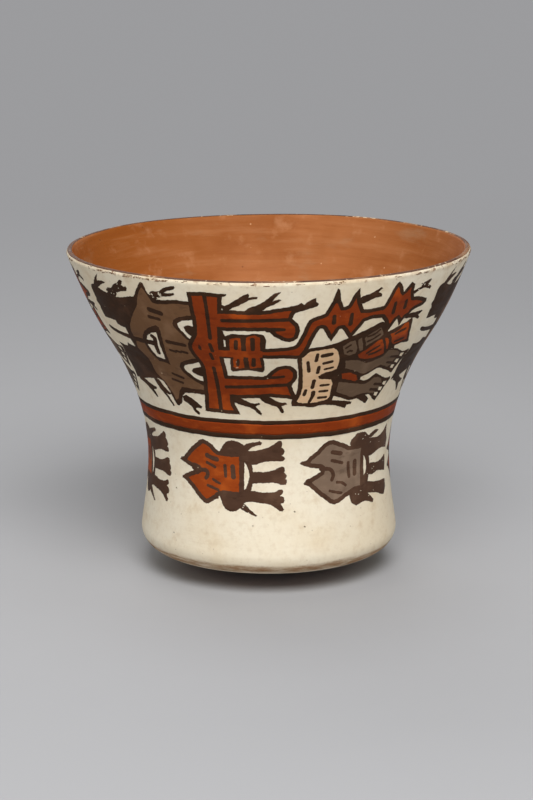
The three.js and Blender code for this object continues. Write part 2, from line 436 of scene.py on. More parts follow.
def laying_tree():
    """Lays flat paint on the wall, several times round. Flat x is the angle, y the way up the wall."""
    graph = new_geometry_tree("laid on the wall", (
        ("Wall", "NodeSocketObject"), ("Copies", "NodeSocketInt"), ("Pitch", "NodeSocketFloat"),
        ("Unevenness", "NodeSocketFloat"), ("Wander", "NodeSocketFloat"), ("Finish", "NodeSocketMaterial")))
    given = graph.add("NodeGroupInput")
    wall, copies, pitch, unevenness, wander, finish = (given.also(i) for i in range(1, 7))
    line = graph.add("GeometryNodeMeshLine", {"Count": copies, "Offset": graph.vector(pitch, 0.0, 0.0)})
    paint = graph.add("GeometryNodeInstanceOnPoints", {"Points": line, "Instance": given})
    paint = graph.add("GeometryNodeRealizeInstances", (paint,))
    angle, along, thickness = graph.parts(graph.add("GeometryNodeInputPosition"))
    waver = graph.vector(graph.math("SINE", angle), graph.math("COSINE", angle), along * WANDER_STRETCH)
    sideways = graph.sway(waver, WANDER_SCALE, detail=3.0, roughness=0.55)
    upwards = graph.sway(waver, WANDER_SCALE, detail=3.0, roughness=0.55, aside=WANDER_ASIDE)
    curve = graph.add("GeometryNodeObjectInfo", {"Object": wall}, output="Geometry")
    curve = graph.add("GeometryNodeMeshToCurve", (curve,))
    true_along = along + upwards * wander
    sampled = graph.add("GeometryNodeSampleCurve", {"Curves": curve, "Length": true_along},
                        output="Position", mode="LENGTH")
    radius, _, height = graph.parts(sampled)
    lean, _, rise = graph.parts(sampled.also("Tangent"))
    true_angle = angle + sideways * wander / radius
    true_radius = radius + thickness * rise
    true_height = height - thickness * lean
    place = hand_place(graph, true_radius, true_angle, true_height, unevenness, waver=0.0)
    paint = graph.add("GeometryNodeSetPosition", {"Geometry": paint, "Position": place})
    paint = graph.add("GeometryNodeSetMaterial", {"Geometry": paint, "Material": finish})
    graph.add("NodeGroupOutput", (paint,))
    return graph.tree


def new_object(name, mesh):
    piece = bpy.data.objects.new(name, mesh)
    bpy.context.scene.collection.objects.link(piece)
    return piece


def edge_mesh(name, outline, closed):
    points = [(radius * MM, 0, height * MM) for radius, height in outline]
    count = len(points)
    edges = [(i, (i + 1) % count) for i in range(count if closed else count - 1)]
    mesh = bpy.data.meshes.new(name)
    mesh.from_pydata(points, edges, [])
    return mesh


def formed(name, mesh, tree, settings):
    """Runs a geometry tree on a mesh and keeps the result as a plain mesh with its faces outwards."""
    worker = new_object(name + "_former", mesh)
    modifier = worker.modifiers.new("form", "NODES")
    modifier.node_group = tree
    for item in tree.interface.items_tree:
        if item.in_out == "INPUT" and item.name in settings:
            modifier[item.identifier] = settings[item.name]
    evaluated = worker.evaluated_get(bpy.context.evaluated_depsgraph_get())
    result = bpy.data.meshes.new_from_object(evaluated)
    bpy.data.objects.remove(worker)
    bpy.data.meshes.remove(mesh)
    result.name = name
    if signed_volume(result) < 0:
        result.flip_normals()
    return new_object(name, result)


def signed_volume(mesh):
    mesh.calc_loop_triangles()
    corners = np.empty(len(mesh.loop_triangles) * 3, int)
    mesh.loop_triangles.foreach_get("vertices", corners)
    places = np.empty(len(mesh.vertices) * 3)
    mesh.vertices.foreach_get("co", places)
    a, b, c = places.reshape(-1, 3)[corners.reshape(-1, 3)].transpose(1, 0, 2)
    return np.einsum("ij,ij->", a, np.cross(b, c))


# Finishes.

def swatch(red, green, blue):
    """A colour as it is mixed on screen, from 0 to 255, made linear."""
    def linear(value):
        value /= 255
        return value / 12.92 if value <= 0.04045 else ((value + 0.055) / 1.055) ** 2.4
    return (linear(red), linear(green), linear(blue), 1.0)


SHEEN = 0.04
SPECK_CORE = 0.4
LOT_EDGE = 0.02
CREAM_ASIDE = (0.31, 0.17, 0.05)
PAPER = (0.42, 0.42, 0.43, 1.0)
BACKGROUND = (0.33, 0.33, 0.34, 1.0)

# Places in metres between which a look sets in: heights, places across the cup, ways out on the floor.
RIM_WEAR_AND_SHADE = (0.1424, 0.1450)
HEEL_WEAR_TOP = (0.0153, 0.0135)
HEEL_WEAR_FOOT = (0.0104, 0.0112)
LEFT_PAINTED_SHADE = (-0.015, -0.07)
RIGHT_PAINTED_SHADE = (0.03, 0.08)
FLOOR_FADE = (0.3, 1.1)


class Finish(Graph):
    """A material for the fired and painted surface, on Object coordinates."""

    def __init__(self, name, colour):
        self.material = bpy.data.materials.new(name)
        self.material.use_nodes = True
        super().__init__(self.material.node_tree)
        self.tree.nodes.clear()
        self.place = self.add("ShaderNodeTexCoord", output="Object")
        self.colour = colour

    def level(self, times):
        """The place with its height taken several times over, so that a pattern lies in level streaks."""
        return self.vector_math("MULTIPLY", self.place, (1, 1, times))

    def tint(self, share, colour):
        """Lays a colour over the one so far."""
        inputs = {0: share, 6: self.colour, 7: colour}
        self.colour = self.add("ShaderNodeMix", inputs, output=2, data_type="RGBA")

    def specks(self, scale, size, share):
        """Small round specks in some of the cells of a scattered grid."""
        cell = self.add("ShaderNodeTexVoronoi", {"Vector": self.place, "Scale": scale}, output="Distance")
        lot, _, _ = self.parts(cell.also("Color"))
        return self.ramp(cell, size, size * SPECK_CORE) * self.ramp(lot, 1 - share, 1 - share + LOT_EDGE)

    def shader(self, roughness, relief, depth):
        bump = self.add("ShaderNodeBump", {"Strength": 1.0, "Distance": depth * MM, "Height": relief})
        inputs = {"Base Color": self.colour, "Roughness": roughness, "Normal": bump,
                  "Specular IOR Level": SHEEN}
        return self.add("ShaderNodeBsdfPrincipled", inputs)

    def done(self, shader):
        self.add("ShaderNodeOutputMaterial", (shader,))
        return self.material


def cream_slip_finish():
    finish = Finish("cream_slip", swatch(237, 226, 203))
    _, _, height = finish.parts(finish.place)
    aside = finish.vector_math("ADD", finish.place, CREAM_ASIDE)
    cloud = finish.noise(aside, 24.0, 4.0)
    patch = finish.noise(aside, 75.0, 4.0, 0.6)
    stroke = finish.noise(finish.level(9), 34.0, 3.0, 0.6)
    dust = finish.noise(aside, 430.0, 3.0, 0.6)
    grain = finish.noise(finish.place, 900.0, 2.0)
    mottle = finish.noise(aside, 170.0, 5.0, 0.65)
    finish.tint(finish.ramp(cloud, 0.35, 0.65), swatch(231, 216, 188))
    finish.tint(finish.ramp(patch, 0.5, 0.75) * 0.32, swatch(216, 193, 156))
    finish.tint(finish.ramp(mottle, 0.5, 0.78) * 0.48, swatch(206, 180, 142))
    finish.tint(finish.ramp(dust, 0.46, 0.74) * 0.22, swatch(202, 180, 148))
    finish.tint(finish.ramp(stroke, 0.5, 0.8) * 0.20, swatch(243, 233, 212))
    finish.tint(finish.specks(150.0, 0.08, 0.03) * 0.7, swatch(126, 100, 74))
    finish.tint(finish.specks(420.0, 0.16, 0.10) * 0.5, swatch(150, 122, 92))
    # Over the top of the lip the slip is browner and darker: partly wear, partly painted shade on the
    # upward-facing lip.
    rim = finish.ramp(height + (patch - 0.5) * 0.005, *RIM_WEAR_AND_SHADE)
    finish.tint(rim * finish.ramp(mottle, 0.35, 0.65, 0.1, 0.7), swatch(192, 164, 130))
    chips = finish.ramp(finish.noise(finish.place, 330.0, 2.0), 0.60, 0.66)
    finish.tint(rim * chips * 0.8, swatch(140, 98, 70))
    turn = height + (patch - 0.5) * 0.002 + (grain - 0.5) * 0.0008
    worn = finish.ramp(turn, *HEEL_WEAR_TOP) * finish.ramp(turn, *HEEL_WEAR_FOOT)
    worn = worn * finish.ramp(finish.noise(finish.level(7), 110.0, 5.0, 0.7), 0.3, 0.66, 0.3, 1.0)
    finish.tint(worn, swatch(160, 122, 86))
    relief = stroke * 0.5 + patch * 0.6 + grain * 0.12
    return finish.done(finish.shader(finish.ramp(patch, 0.3, 0.7, 0.46, 0.6), relief, depth=0.25))


def orange_slip_finish():
    finish = Finish("orange_slip", swatch(172, 108, 64))
    cloud = finish.noise(finish.place, 20.0, 4.0, 0.6)
    stroke = finish.noise(finish.level(11), 26.0, 4.0, 0.6)
    patch = finish.noise(finish.place, 110.0, 4.0, 0.6)
    grain = finish.noise(finish.place, 800.0, 2.0)
    side, _, _ = finish.parts(finish.place)
    smudge = finish.noise(finish.level(3), 24.0, 5.0, 0.6)
    finish.tint(finish.ramp(cloud, 0.35, 0.68), swatch(151, 88, 43))
    # Painted shade: the inside is made darker towards its left side, and less so towards its right side.
    finish.tint(finish.ramp(side, *LEFT_PAINTED_SHADE) * 0.75, swatch(142, 76, 21))
    finish.tint(finish.ramp(side, *RIGHT_PAINTED_SHADE) * 0.5, swatch(141, 81, 36))
    finish.tint(finish.ramp(stroke, 0.48, 0.72) * 0.3, swatch(188, 130, 88))
    finish.tint(finish.ramp(stroke, 0.5, 0.3) * 0.3, swatch(138, 74, 32))
    finish.tint(finish.ramp(patch, 0.54, 0.76) * 0.45, swatch(194, 138, 98))
    finish.tint(finish.ramp(smudge, 0.6, 0.74) * 0.35, swatch(168, 134, 102))
    finish.tint(finish.specks(170.0, 0.12, 0.12) * 0.7, swatch(112, 66, 38))
    finish.tint(finish.specks(240.0, 0.13, 0.08) * 0.6, swatch(218, 172, 130))
    relief = stroke * 0.7 + patch * 0.5 + grain * 0.12
    return finish.done(finish.shader(finish.ramp(patch, 0.3, 0.7, 0.46, 0.6), relief, depth=0.3))


def clay_finish():
    finish = Finish("fired_clay", swatch(176, 124, 84))
    cloud = finish.noise(finish.place, 30.0, 4.0, 0.6)
    patch = finish.noise(finish.place, 160.0, 4.0, 0.65)
    grain = finish.noise(finish.place, 1100.0, 2.0)
    finish.tint(finish.ramp(cloud, 0.35, 0.65), swatch(156, 104, 68))
    finish.tint(finish.ramp(patch, 0.5, 0.75) * 0.5, swatch(136, 96, 70))
    finish.tint(finish.specks(260.0, 0.18, 0.20) * 0.8, swatch(92, 68, 54))
    finish.tint(finish.specks(330.0, 0.15, 0.12) * 0.8, swatch(214, 184, 150))
    return finish.done(finish.shader(0.85, patch * 0.7 + grain * 0.3, depth=0.35))


def paint_finish(name, body, thin, deep, roughness, fleck_share=0.0):
    """Slip paint: thin where the brush ran dry, deep where it pooled, worn to flecks of the slip below."""
    finish = Finish(name, swatch(*body))
    slip_below = swatch(214, 190, 156)
    pool = finish.noise(finish.place, 60.0, 3.0, 0.55)
    dry = finish.noise(finish.level(2.5), 130.0, 4.0, 0.6)
    wear = finish.noise(finish.place, 420.0, 3.0, 0.6)
    grain = finish.noise(finish.place, 1200.0, 2.0)
    finish.tint(finish.ramp(pool, 0.5, 0.68) * 0.8, swatch(*thin))
    finish.tint(finish.ramp(dry, 0.55, 0.75) * 0.45, swatch(*thin))
    finish.tint(finish.ramp(dry, 0.46, 0.28) * 0.7, swatch(*deep))
    flecks = finish.ramp(wear + (pool - 0.5) * 0.4, 0.74 - fleck_share, 0.80 - fleck_share)
    finish.tint(flecks * 0.75, slip_below)
    finish.tint(finish.specks(230.0, 0.08, 0.14) * 0.8, slip_below)
    relief = dry * 0.5 + wear * 0.25 + grain * 0.15
    dulled = finish.ramp(dry, 0.3, 0.7, roughness - 0.06, roughness + 0.08)
    return finish.done(finish.shader(dulled, relief, depth=0.18))


def background_share(graph):
    """One for the rays that see the background: from the camera, off a glossy surface or through glass."""
    path = graph.add("ShaderNodeLightPath", output="Is Camera Ray")
    return path + path.also("Is Glossy Ray") + path.also("Is Transmission Ray")


def floor_finish():
    """Pale paper that keeps the cup's shadow and goes over into the background's even tone far from it."""
    finish = Finish("pale_paper", PAPER)
    across, deep, _ = finish.parts(finish.place)
    far = finish.ramp(finish.math("SQRT", across * across + deep * deep), *FLOOR_FADE)
    grain = finish.noise(finish.place, 40.0, 3.0)
    finish.tint(grain * 0.06, BACKGROUND)
    paper = finish.shader(0.9, grain, depth=0.01)
    tone = finish.add("ShaderNodeEmission", {"Color": BACKGROUND})
    seen = finish.add("ShaderNodeMixShader", {0: far * background_share(finish), 1: paper, 2: tone})
    return finish.done(seen)


# Painting on the wall, with lengths in millimetres.

REFERENCE_RADIUS = 70
BRUSH_STEP = 0.6
LATTICE = 2.2
CORNER_TURN = math.radians(38)
MERGE_DISTANCE = 0.02
CAP_POINTS = 5
STRAY_WAVES = (9.0, 3.7, 1.9)
STRAY_STRENGTH = (0.4, 1)
STROKE_STRAY = 0.6
OUTLINE_SLACK = 0.97
FLECK_TRIES = 5
FLECK_CORNERS = 6
FLECK_REACH = (0.12, 0.42)
FLECK_STRETCH = 1.4

surface = wall_curve()
surface_steps = np.linalg.norm(np.diff(surface, axis=0), axis=1)
surface_along = np.concatenate(([0], np.cumsum(surface_steps)))
middle_radii = (surface[1:, 0] + surface[:-1, 0]) / 2
surface_flat = np.concatenate(([0], np.cumsum(surface_steps * REFERENCE_RADIUS / middle_radii)))


def flat(points):
    """Points of the wall on a flat drawing that keeps angles, about full size."""
    points = np.array(points, float)
    across = np.radians(points[:, 0]) * REFERENCE_RADIUS
    return np.column_stack((across, np.interp(points[:, 1], surface[:, 1], surface_flat)))


def flat_scale(points):
    """Drawing units to a millimetre of the wall, at each point."""
    return REFERENCE_RADIUS / np.interp(points[:, 1], surface_flat, surface[:, 0])


def unit(vectors):
    lengths = np.linalg.norm(vectors, axis=-1, keepdims=True)
    return vectors / np.maximum(lengths, 1e-9)


def heading(points, i, closed, chord):
    """The way a brush goes through a point, or along the chord at an end or a sharp corner."""
    last = len(points) - 1
    if not closed and i in (0, last):
        return chord
    before = unit(points[i] - points[i - 1])
    after = unit(points[(i + 1) % len(points)] - points[i])
    if np.dot(before, after) < math.cos(CORNER_TURN):
        return chord
    return unit(before + after) * np.linalg.norm(chord)


def brushed(points, closed):
    """A smooth line through given points."""
    spans = len(points) if closed else len(points) - 1
    line = []
    for i in range(spans):
        j = (i + 1) % len(points)
        chord = points[j] - points[i]
        leave = heading(points, i, closed, chord)
        arrive = heading(points, j, closed, chord)
        steps = max(1, math.ceil(np.linalg.norm(chord) / BRUSH_STEP))
        t = (np.arange(steps) / steps)[:, None]
        at_start, at_end, leaving, arriving = curve_shares(t)
        line.append(points[i] * at_start + points[j] * at_end + leave * leaving + arrive * arriving)
    if not closed:
        line.append(points[-1:])
    return np.concatenate(line)


def left_of(line, closed):
    """Unit vectors to the left of a line."""
    if closed:
        along = np.roll(line, -1, axis=0) - np.roll(line, 1, axis=0)
    else:
        along = np.gradient(line, axis=0)
    return unit(np.column_stack((-along[:, 1], along[:, 0])))


def inside(ring, places):
    """Whether each place lies inside a ring, by its winding."""
    winding = np.zeros(len(places), int)
    x, y = places[:, 0], places[:, 1]
    for (ax, ay), (bx, by) in zip(ring, np.roll(ring, -1, axis=0)):
        side = (bx - ax) * (y - ay) - (x - ax) * (by - ay)
        winding += ((ay <= y) & (y < by) & (side > 0)).astype(int)
        winding -= ((by <= y) & (y < ay) & (side < 0)).astype(int)
    return winding != 0


def distance_to(ring, places):
    nearest = np.full(len(places), np.inf)
    for start, end in zip(ring, np.roll(ring, -1, axis=0)):
        way = end - start
        along = np.clip((places - start) @ way / max(way @ way, 1e-12), 0, 1)
        gap = places - start - along[:, None] * way
        nearest = np.minimum(nearest, (gap**2).sum(1))
    return np.sqrt(nearest)


class Painting:
    """Shapes in the order they are brushed. Each one covers what was under it.

    They are given as points of angle in degrees and height in millimetres. The angle is counted
    from the front of the cup to the right, and the height from the drawing's foot.
    """

    def __init__(self, seed, turn):
        self.hand = np.random.default_rng(seed)
        self.marks = []
        self.turn = turn
        self.shift = (0, 0)

    def roughness(self, count):
        """How far a brushed edge strays at each step along it."""
        steps = np.arange(count) * BRUSH_STEP
        stray = np.zeros(count)
        for wave in STRAY_WAVES:
            start = self.hand.uniform(0, math.tau)
            stray += np.sin(steps * math.tau / wave + start) * self.hand.uniform(*STRAY_STRENGTH)
        return stray * EDGE_ROUGHNESS

    def placed(self, points):
        return flat(np.array(points, float) + self.shift + (self.turn, DRAWING_FOOT))

    def ring(self, points):
        """The edge of a filled shape, anticlockwise."""
        line = brushed(self.placed(points), True)
        following = np.roll(line, -1, axis=0)
        area = (line[:, 0] * following[:, 1] - following[:, 0] * line[:, 1]).sum()
        if area < 0:
            line = line[::-1]
        outwards = -left_of(line, True)
        return line + outwards * (self.roughness(len(line)) * flat_scale(line))[:, None]

    def cover(self, paint, edge, ring, margin=0.0):
        self.marks.append((paint, edge, ring, margin))

    def fill(self, paint, *shapes):
        for points in shapes:
            ring = self.ring(points)
            self.cover(paint, ring, ring)

    def bare(self, points):
        self.fill(None, points)

    def outlined(self, paint, width, *shapes):
        """Shapes joined in one dark outline, each given by its outer edge."""
        rings = [self.ring(points) for points in shapes]
        for ring in rings:
            self.cover("dark", ring, ring)
        for ring in rings:
            scale = flat_scale(ring)
            inner = ring + left_of(ring, True) * (width * scale)[:, None]
            kept = inner[distance_to(ring, inner) > width * scale * OUTLINE_SLACK]
            self.cover(paint, kept, ring, width)

    def stroke(self, paint, width, *points):
        """A brushed line. Its width is one number, or a pair of them for its two ends."""
        line = brushed(self.placed(points), False)
        start_width, end_width = np.broadcast_to(width, 2)
        widths = start_width + (end_width - start_width) * np.linspace(0, 1, len(line))
        half = (widths / 2 + self.roughness(len(line)) * STROKE_STRAY) * flat_scale(line)
        left = left_of(line, False)
        turns = np.linspace(0, math.pi, CAP_POINTS + 2)[1:-1, None]
        end_way = unit(line[-1] - line[-2])
        start_way = unit(line[0] - line[1])
        end_cap = line[-1] + half[-1] * (np.cos(turns) * -left[-1] + np.sin(turns) * end_way)
        start_cap = line[0] + half[0] * (np.cos(turns) * left[0] + np.sin(turns) * start_way)
        right_edge = line - left * half[:, None]
        left_edge = line + left * half[:, None]
        ring = np.concatenate((right_edge, end_cap, left_edge[::-1], start_cap))
        self.cover(paint, ring, ring)

    def lines(self, *lines):
        """Dark strokes, each given by its width and its points."""
        for width, *points in lines:
            self.stroke("dark", width, *points)

    def dry(self, points, count):
        """Small bare flecks in a shape where the brush ran dry."""
        ring = self.ring(points)
        tries = self.hand.uniform(ring.min(axis=0), ring.max(axis=0), (count * FLECK_TRIES, 2))
        turns = np.arange(0, math.tau, math.tau / FLECK_CORNERS)
        for place in tries[inside(ring, tries)][:count]:
            reach = self.hand.uniform(*FLECK_REACH, FLECK_CORNERS)[:, None]
            fleck = place + reach * np.column_stack((np.cos(turns) * FLECK_STRETCH, np.sin(turns)))
            self.cover(None, fleck, fleck)

    def dry_fill(self, points, count):
        """A dark shape with bare flecks in it."""
        self.fill("dark", points)
        self.dry(points, count)

    def triangles(self):
        """Divides the whole drawing along every edge and finds the paint that lies uppermost in each part."""
        points, edges = [], []
        for _, edge, _, _ in self.marks:
            first, count = len(points), len(edge)
            points += list(edge)
            edges += [(first + i, first + (i + 1) % count) for i in range(count)]
        low, high = np.min(points, axis=0), np.max(points, axis=0)
        rows = np.arange(low[1], high[1], LATTICE)
        for row, y in enumerate(rows):
            points += [(x, y) for x in np.arange(low[0] + LATTICE / 2 * (row % 2), high[0], LATTICE)]
        divided = delaunay_2d_cdt([Vector(point) for point in points], edges, [], 0, MERGE_DISTANCE)
        places = np.array([tuple(place) for place in divided[0]])
        faces = np.array(divided[2])
        middles = places[faces].mean(axis=1)
        paints = np.full(len(faces), None, object)
        for paint, _, ring, margin in self.marks:
            near = ((middles >= ring.min(axis=0)) & (middles <= ring.max(axis=0))).all(axis=1)
            chosen = np.flatnonzero(near)
            covered = inside(ring, middles[chosen])
            if margin:
                covered &= distance_to(ring, middles[chosen]) > margin * flat_scale(middles[chosen])
            paints[chosen[covered]] = paint
        return places, faces, paints

    def sheets(self):
        """A thin flat sheet for each paint: angle across, way up the wall, and thickness."""
        places, faces, paints = self.triangles()
        angle = places[:, 0] / REFERENCE_RADIUS
        along = np.interp(places[:, 1], surface_flat, surface_along) * MM
        for paint in sorted({paint for paint in paints if paint}):
            chosen = faces[paints == paint]
            used, chosen = np.unique(chosen, return_inverse=True)
            chosen = chosen.reshape(-1, 3)
            sides = np.concatenate((chosen[:, (0, 1)], chosen[:, (1, 2)], chosen[:, (2, 0)]))
            known = {tuple(side) for side in sides}
            rim = [(a, b) for a, b in known if (b, a) not in known]
            rim.sort()
            top = np.full(len(used), PAINT_TOP * MM)
            top[np.unique(rim)] = PAINT_EDGE * MM
            bottom = np.full(len(used), PAINT_BOTTOM * MM)
            count = len(used)
            corners = [np.column_stack((angle[used], along[used], face)) for face in (top, bottom)]
            quads = [(a + count, b + count, b, a) for a, b in rim]
            mesh = bpy.data.meshes.new(paint)
            mesh.from_pydata(np.concatenate(corners), [],
                             chosen.tolist() + (chosen[:, ::-1] + count).tolist() + quads)
            yield paint, mesh


def paint_hair(painting):
    """The hair behind the head, above and below the whisker, with feathers tied into it."""
    painting.fill("dark", [
        (-61.8, 125.7), (-61.7, 127.3), (-60.9, 128.6), (-58.8, 129.7), (-57.6, 131.6), (-54.1, 135.3),
        (-55.8, 131.8), (-52.3, 132.2), (-51.4, 131.8), (-54.9, 129.9), (-56.8, 128.4), (-54.4, 127.4),
        (-49.2, 126.2), (-45.1, 126.6), (-42.5, 127.6), (-39, 128.2), (-39, 122), (-45, 108),
        (-50, 108.7), (-50.3, 111.4), (-52.6, 111.7), (-54.1, 112.5), (-54.3, 113.9), (-61.1, 113.9),
        (-61.5, 117.7), (-61.1, 118.9), (-62.2, 121.1), (-61.6, 122.3)])
    painting.dry_fill([
        (-52.3, 126.8), (-52.3, 128.6), (-51.6, 129.5), (-49.4, 130.1), (-47.3, 132.2), (-45.8, 133),
        (-44.9, 134.3), (-44, 134.9), (-43.2, 134.3), (-44.3, 132.4), (-43.2, 131.7), (-42.6, 132.2),
        (-42.1, 131.4), (-42.6, 130.1), (-46.2, 128.9), (-47.4, 127.7), (-48.6, 126)], 7)
    painting.fill("dark", [
        (-61, 102.2), (-57.5, 101.6), (-55.4, 101.6), (-54.1, 103.5), (-50.5, 102.5), (-46, 104),
        (-42, 90), (-42.4, 86.7), (-45.7, 88), (-50.3, 87.4), (-58.8, 85.8), (-63, 85.6), (-62.4, 88.6),
        (-62.5, 92.8), (-62.3, 96.2), (-60.8, 99.4)], [
        (-60.5, 86.4), (-56.4, 85.9), (-52.5, 84), (-49.8, 83.1), (-50.3, 82.1), (-52.4, 81.7),
        (-51.2, 78.4), (-52.2, 78.1), (-54.4, 80.8), (-57.4, 83.3), (-61, 85)], [
        (-49.4, 88.6), (-46, 87.6), (-43.8, 83.6), (-41.7, 81.6), (-42.8, 80.7), (-44.6, 81.5),
        (-41.8, 76), (-42.7, 75.6), (-45.4, 80.1), (-47.9, 83.9)])


def paint_head(painting):
    painting.fill("dark", [
        (-36.6, 134.8), (-36, 135.3), (-35.4, 134.9), (-34.5, 130.4), (-32.4, 127.9), (-26, 128.7),
        (-20, 128.5), (-20, 83.8), (-30.5, 83.8), (-33.9, 83.5), (-35.9, 81.1), (-37, 78.5),
        (-39.1, 76.4), (-40.3, 76.5), (-41.6, 80.6), (-43.1, 86.3), (-47, 92), (-49.5, 100), (-50.4, 106),
        (-50, 110), (-46, 118), (-41.5, 125), (-40.2, 128)])
    painting.fill("brown", [
        (-36.3, 132.8), (-35.3, 130.7), (-33.8, 126.3), (-32.8, 126.1), (-26, 127), (-20, 127), (-20, 86),
        (-34.5, 86.2), (-36.1, 84.6), (-38.4, 80.2), (-40, 79.1), (-40.8, 82.7), (-42.1, 86.3),
        (-45.6, 91.4), (-45.9, 97.6), (-48.9, 102.3), (-47.6, 106), (-47.7, 110.2), (-46.6, 113.7),
        (-42.1, 121), (-40.1, 124.3), (-38.7, 128.3), (-37.4, 131.5)])
    painting.fill("dark", [
        (-34.5, 130), (-33.3, 131.6), (-30.6, 132), (-29.4, 133.4), (-28, 134.3), (-25.4, 135.1),
        (-25.1, 134.3), (-26, 133.3), (-28.3, 132.3), (-29.1, 131.5), (-27.5, 131.5), (-25.8, 132.1),
        (-25.7, 131.2), (-26.7, 130.5), (-30, 129.7), (-32, 128), (-33.2, 127.2)])
    painting.dry([(-34, 130.5), (-30.5, 131.6), (-30, 130.2), (-32, 128.4), (-33.4, 128.4)], 12)
    painting.fill("dark", [
        (-35.9, 81.6), (-33.7, 82.5), (-30, 80.1), (-27.4, 77.8), (-27.9, 76.7), (-29.8, 77),
        (-30.5, 76.2), (-28.9, 74.5), (-29.5, 73.6), (-31.3, 74.6), (-32.7, 77.3), (-36, 79.6)], [
        (-35.1, 115.7), (-34.1, 114.9), (-34.1, 113), (-35.4, 101.7), (-35.9, 96.5), (-37.7, 97.4),
        (-40.4, 97.6), (-42.1, 99.9), (-43.1, 102.6), (-43.2, 107.9), (-42.3, 109.9), (-40.6, 112.2),
        (-38, 114.3)])
    painting.bare([
        (-41.3, 108.3), (-40.5, 109.6), (-38.3, 111.5), (-36, 112.4), (-36.5, 105.4), (-37, 99.1),
        (-38.6, 99.3), (-40.4, 100), (-41.5, 102.5), (-42.1, 105.2)])
    painting.lines(
        (2.2, (-38.4, 110), (-37.5, 109.3), (-38.4, 105.5), (-38.7, 102.1)),
        ((2, 2.8), (-61.2, 109.4), (-59.3, 108.6), (-50.2, 107.2), (-43.5, 106.8), (-39, 106.6)),
        (2.4, (-35.8, 123), (-31.8, 121.8)),
        (1.7, (-36.6, 119.5), (-33, 118.9)),
        ((2.2, 1.7), (-32.8, 108.5), (-26.5, 107.7)))
    for left, right in ((-32.9, -31.1), (-30.4, -29.1), (-28.5, -26.7)):
        painting.stroke("dark", 1.4, (left, 104.4), (right, 104))
    painting.lines(
        (1.5, (-36.6, 92.3), (-32.4, 90.9)),
        (1.4, (-37.8, 89.4), (-33.5, 88.4)))


def paint_eyes(painting):
    painting.fill("dark", [
        (-28.7, 117.8), (-27.7, 119.6), (-26, 121), (-23.6, 121.9), (-20, 122.5), (-20, 114.3),
        (-23.9, 109.8), (-24.9, 110.6), (-27.3, 114.1), (-28.4, 116.2)])
    painting.bare([
        (-27, 117.8), (-25.6, 119.2), (-21.5, 120.2), (-21.6, 116.9), (-23.8, 117.6), (-25.1, 116.7),
        (-25, 115.2), (-23.1, 112.2), (-24.1, 111.1), (-25.6, 113.8), (-26.9, 116.1)])
    painting.fill("dark", [
        (-32.1, 96.4), (-30.7, 98.6), (-28.2, 100.2), (-24.4, 101.6), (-20, 102), (-20, 88.4),
        (-23.7, 88.2), (-27.1, 89.8), (-29.5, 91.9), (-31.4, 94)])
    painting.bare([
        (-30.2, 96.4), (-29.2, 97.6), (-26.3, 98.8), (-23.1, 100), (-22.8, 97.7), (-26.9, 96.1),
        (-27.5, 95.1), (-27.1, 94.4), (-22.6, 92.3), (-22.8, 90), (-26.3, 91.3), (-28.6, 93.5), (-30, 95)])


STAFF = [
    (-21.9, 133.1), (-17.4, 133.4), (-10.7, 133), (-10.8, 132.3), (-11.9, 131.8), (-12.3, 127.3),
    (-13.2, 117), (-13.9, 103), (-13.7, 95), (-12.8, 84.5), (-12.8, 81), (-11, 75.4), (-26.2, 75.9),
    (-25.1, 82.5), (-24.3, 88.4), (-23.4, 94.8), (-23.3, 98.9), (-24, 101.4), (-25.2, 104.4),
    (-25.4, 107.2), (-24.4, 110.4), (-22.6, 113.9), (-22, 117.2), (-21.9, 127)]
UPPER_ARM = [
    (-18, 125.7), (-9.9, 125.8), (-1.7, 125.6), (1.9, 126.4), (5.7, 127.2), (9, 128.2), (8.7, 126.5),
    (7.4, 122.1), (8.6, 120.4), (9.6, 118.2), (9.9, 115.6), (9.4, 113), (8.1, 111.5), (6, 111.3),
    (3.7, 112.7), (2, 114.4), (0.7, 116.3), (-6, 116.3), (-18, 115.9)]
LOWER_ARM = [
    (-18, 94.2), (-7.4, 94.4), (-0.3, 94.3), (1.3, 96.6), (3.5, 98.9), (5.7, 99.5), (8, 99.5),
    (9.9, 97.7), (10.8, 94.9), (10.6, 92.2), (8.9, 90), (10.2, 86.8), (11.4, 83.6), (11.1, 82.6),
    (6.1, 83.6), (1.8, 84.1), (-2.5, 83.8), (-10.4, 83.3), (-18, 83.2)]
STREAMER = [
    (-18, 107.9), (-1, 108), (8.1, 109.1), (9.1, 109.8), (10.1, 112.6), (12.1, 120.2), (12.7, 121.4),
    (16.8, 123.7), (18.3, 129), (19.5, 134.8), (20.2, 133.8), (20.9, 129.6), (22, 126.2), (23.3, 126.8),
    (24.7, 131.7), (26, 134.2), (26.5, 131.1), (27.3, 127.5), (28.7, 124.3), (31.7, 124.2), (35.3, 124.7),
    (36.6, 129.4), (37.9, 134.2), (38.7, 134.9), (39.7, 133.6), (41.4, 129.8), (42.4, 132), (43.5, 133.8),
    (45, 132.6), (45.5, 129.7), (46.4, 126.8), (50.4, 125.8), (53.3, 124.5), (53.6, 122.9), (52.5, 121.7),
    (48, 120), (46.9, 118.3), (45.5, 117.1), (44.4, 113.8), (42.3, 117.7), (40.1, 112.1), (37.4, 117.1),
    (35.9, 119.3), (32.1, 119.3), (29.9, 118.6), (28.6, 115.5), (26.3, 110.8), (22.9, 116.3),
    (22.1, 116.3), (20.2, 110.5), (18.5, 113.6), (16.8, 116.8), (15.8, 116.9), (14.9, 114.4),
    (13.5, 108.4), (12.2, 104.6), (11.3, 102.8), (7.6, 103.1), (-18, 102.9)]


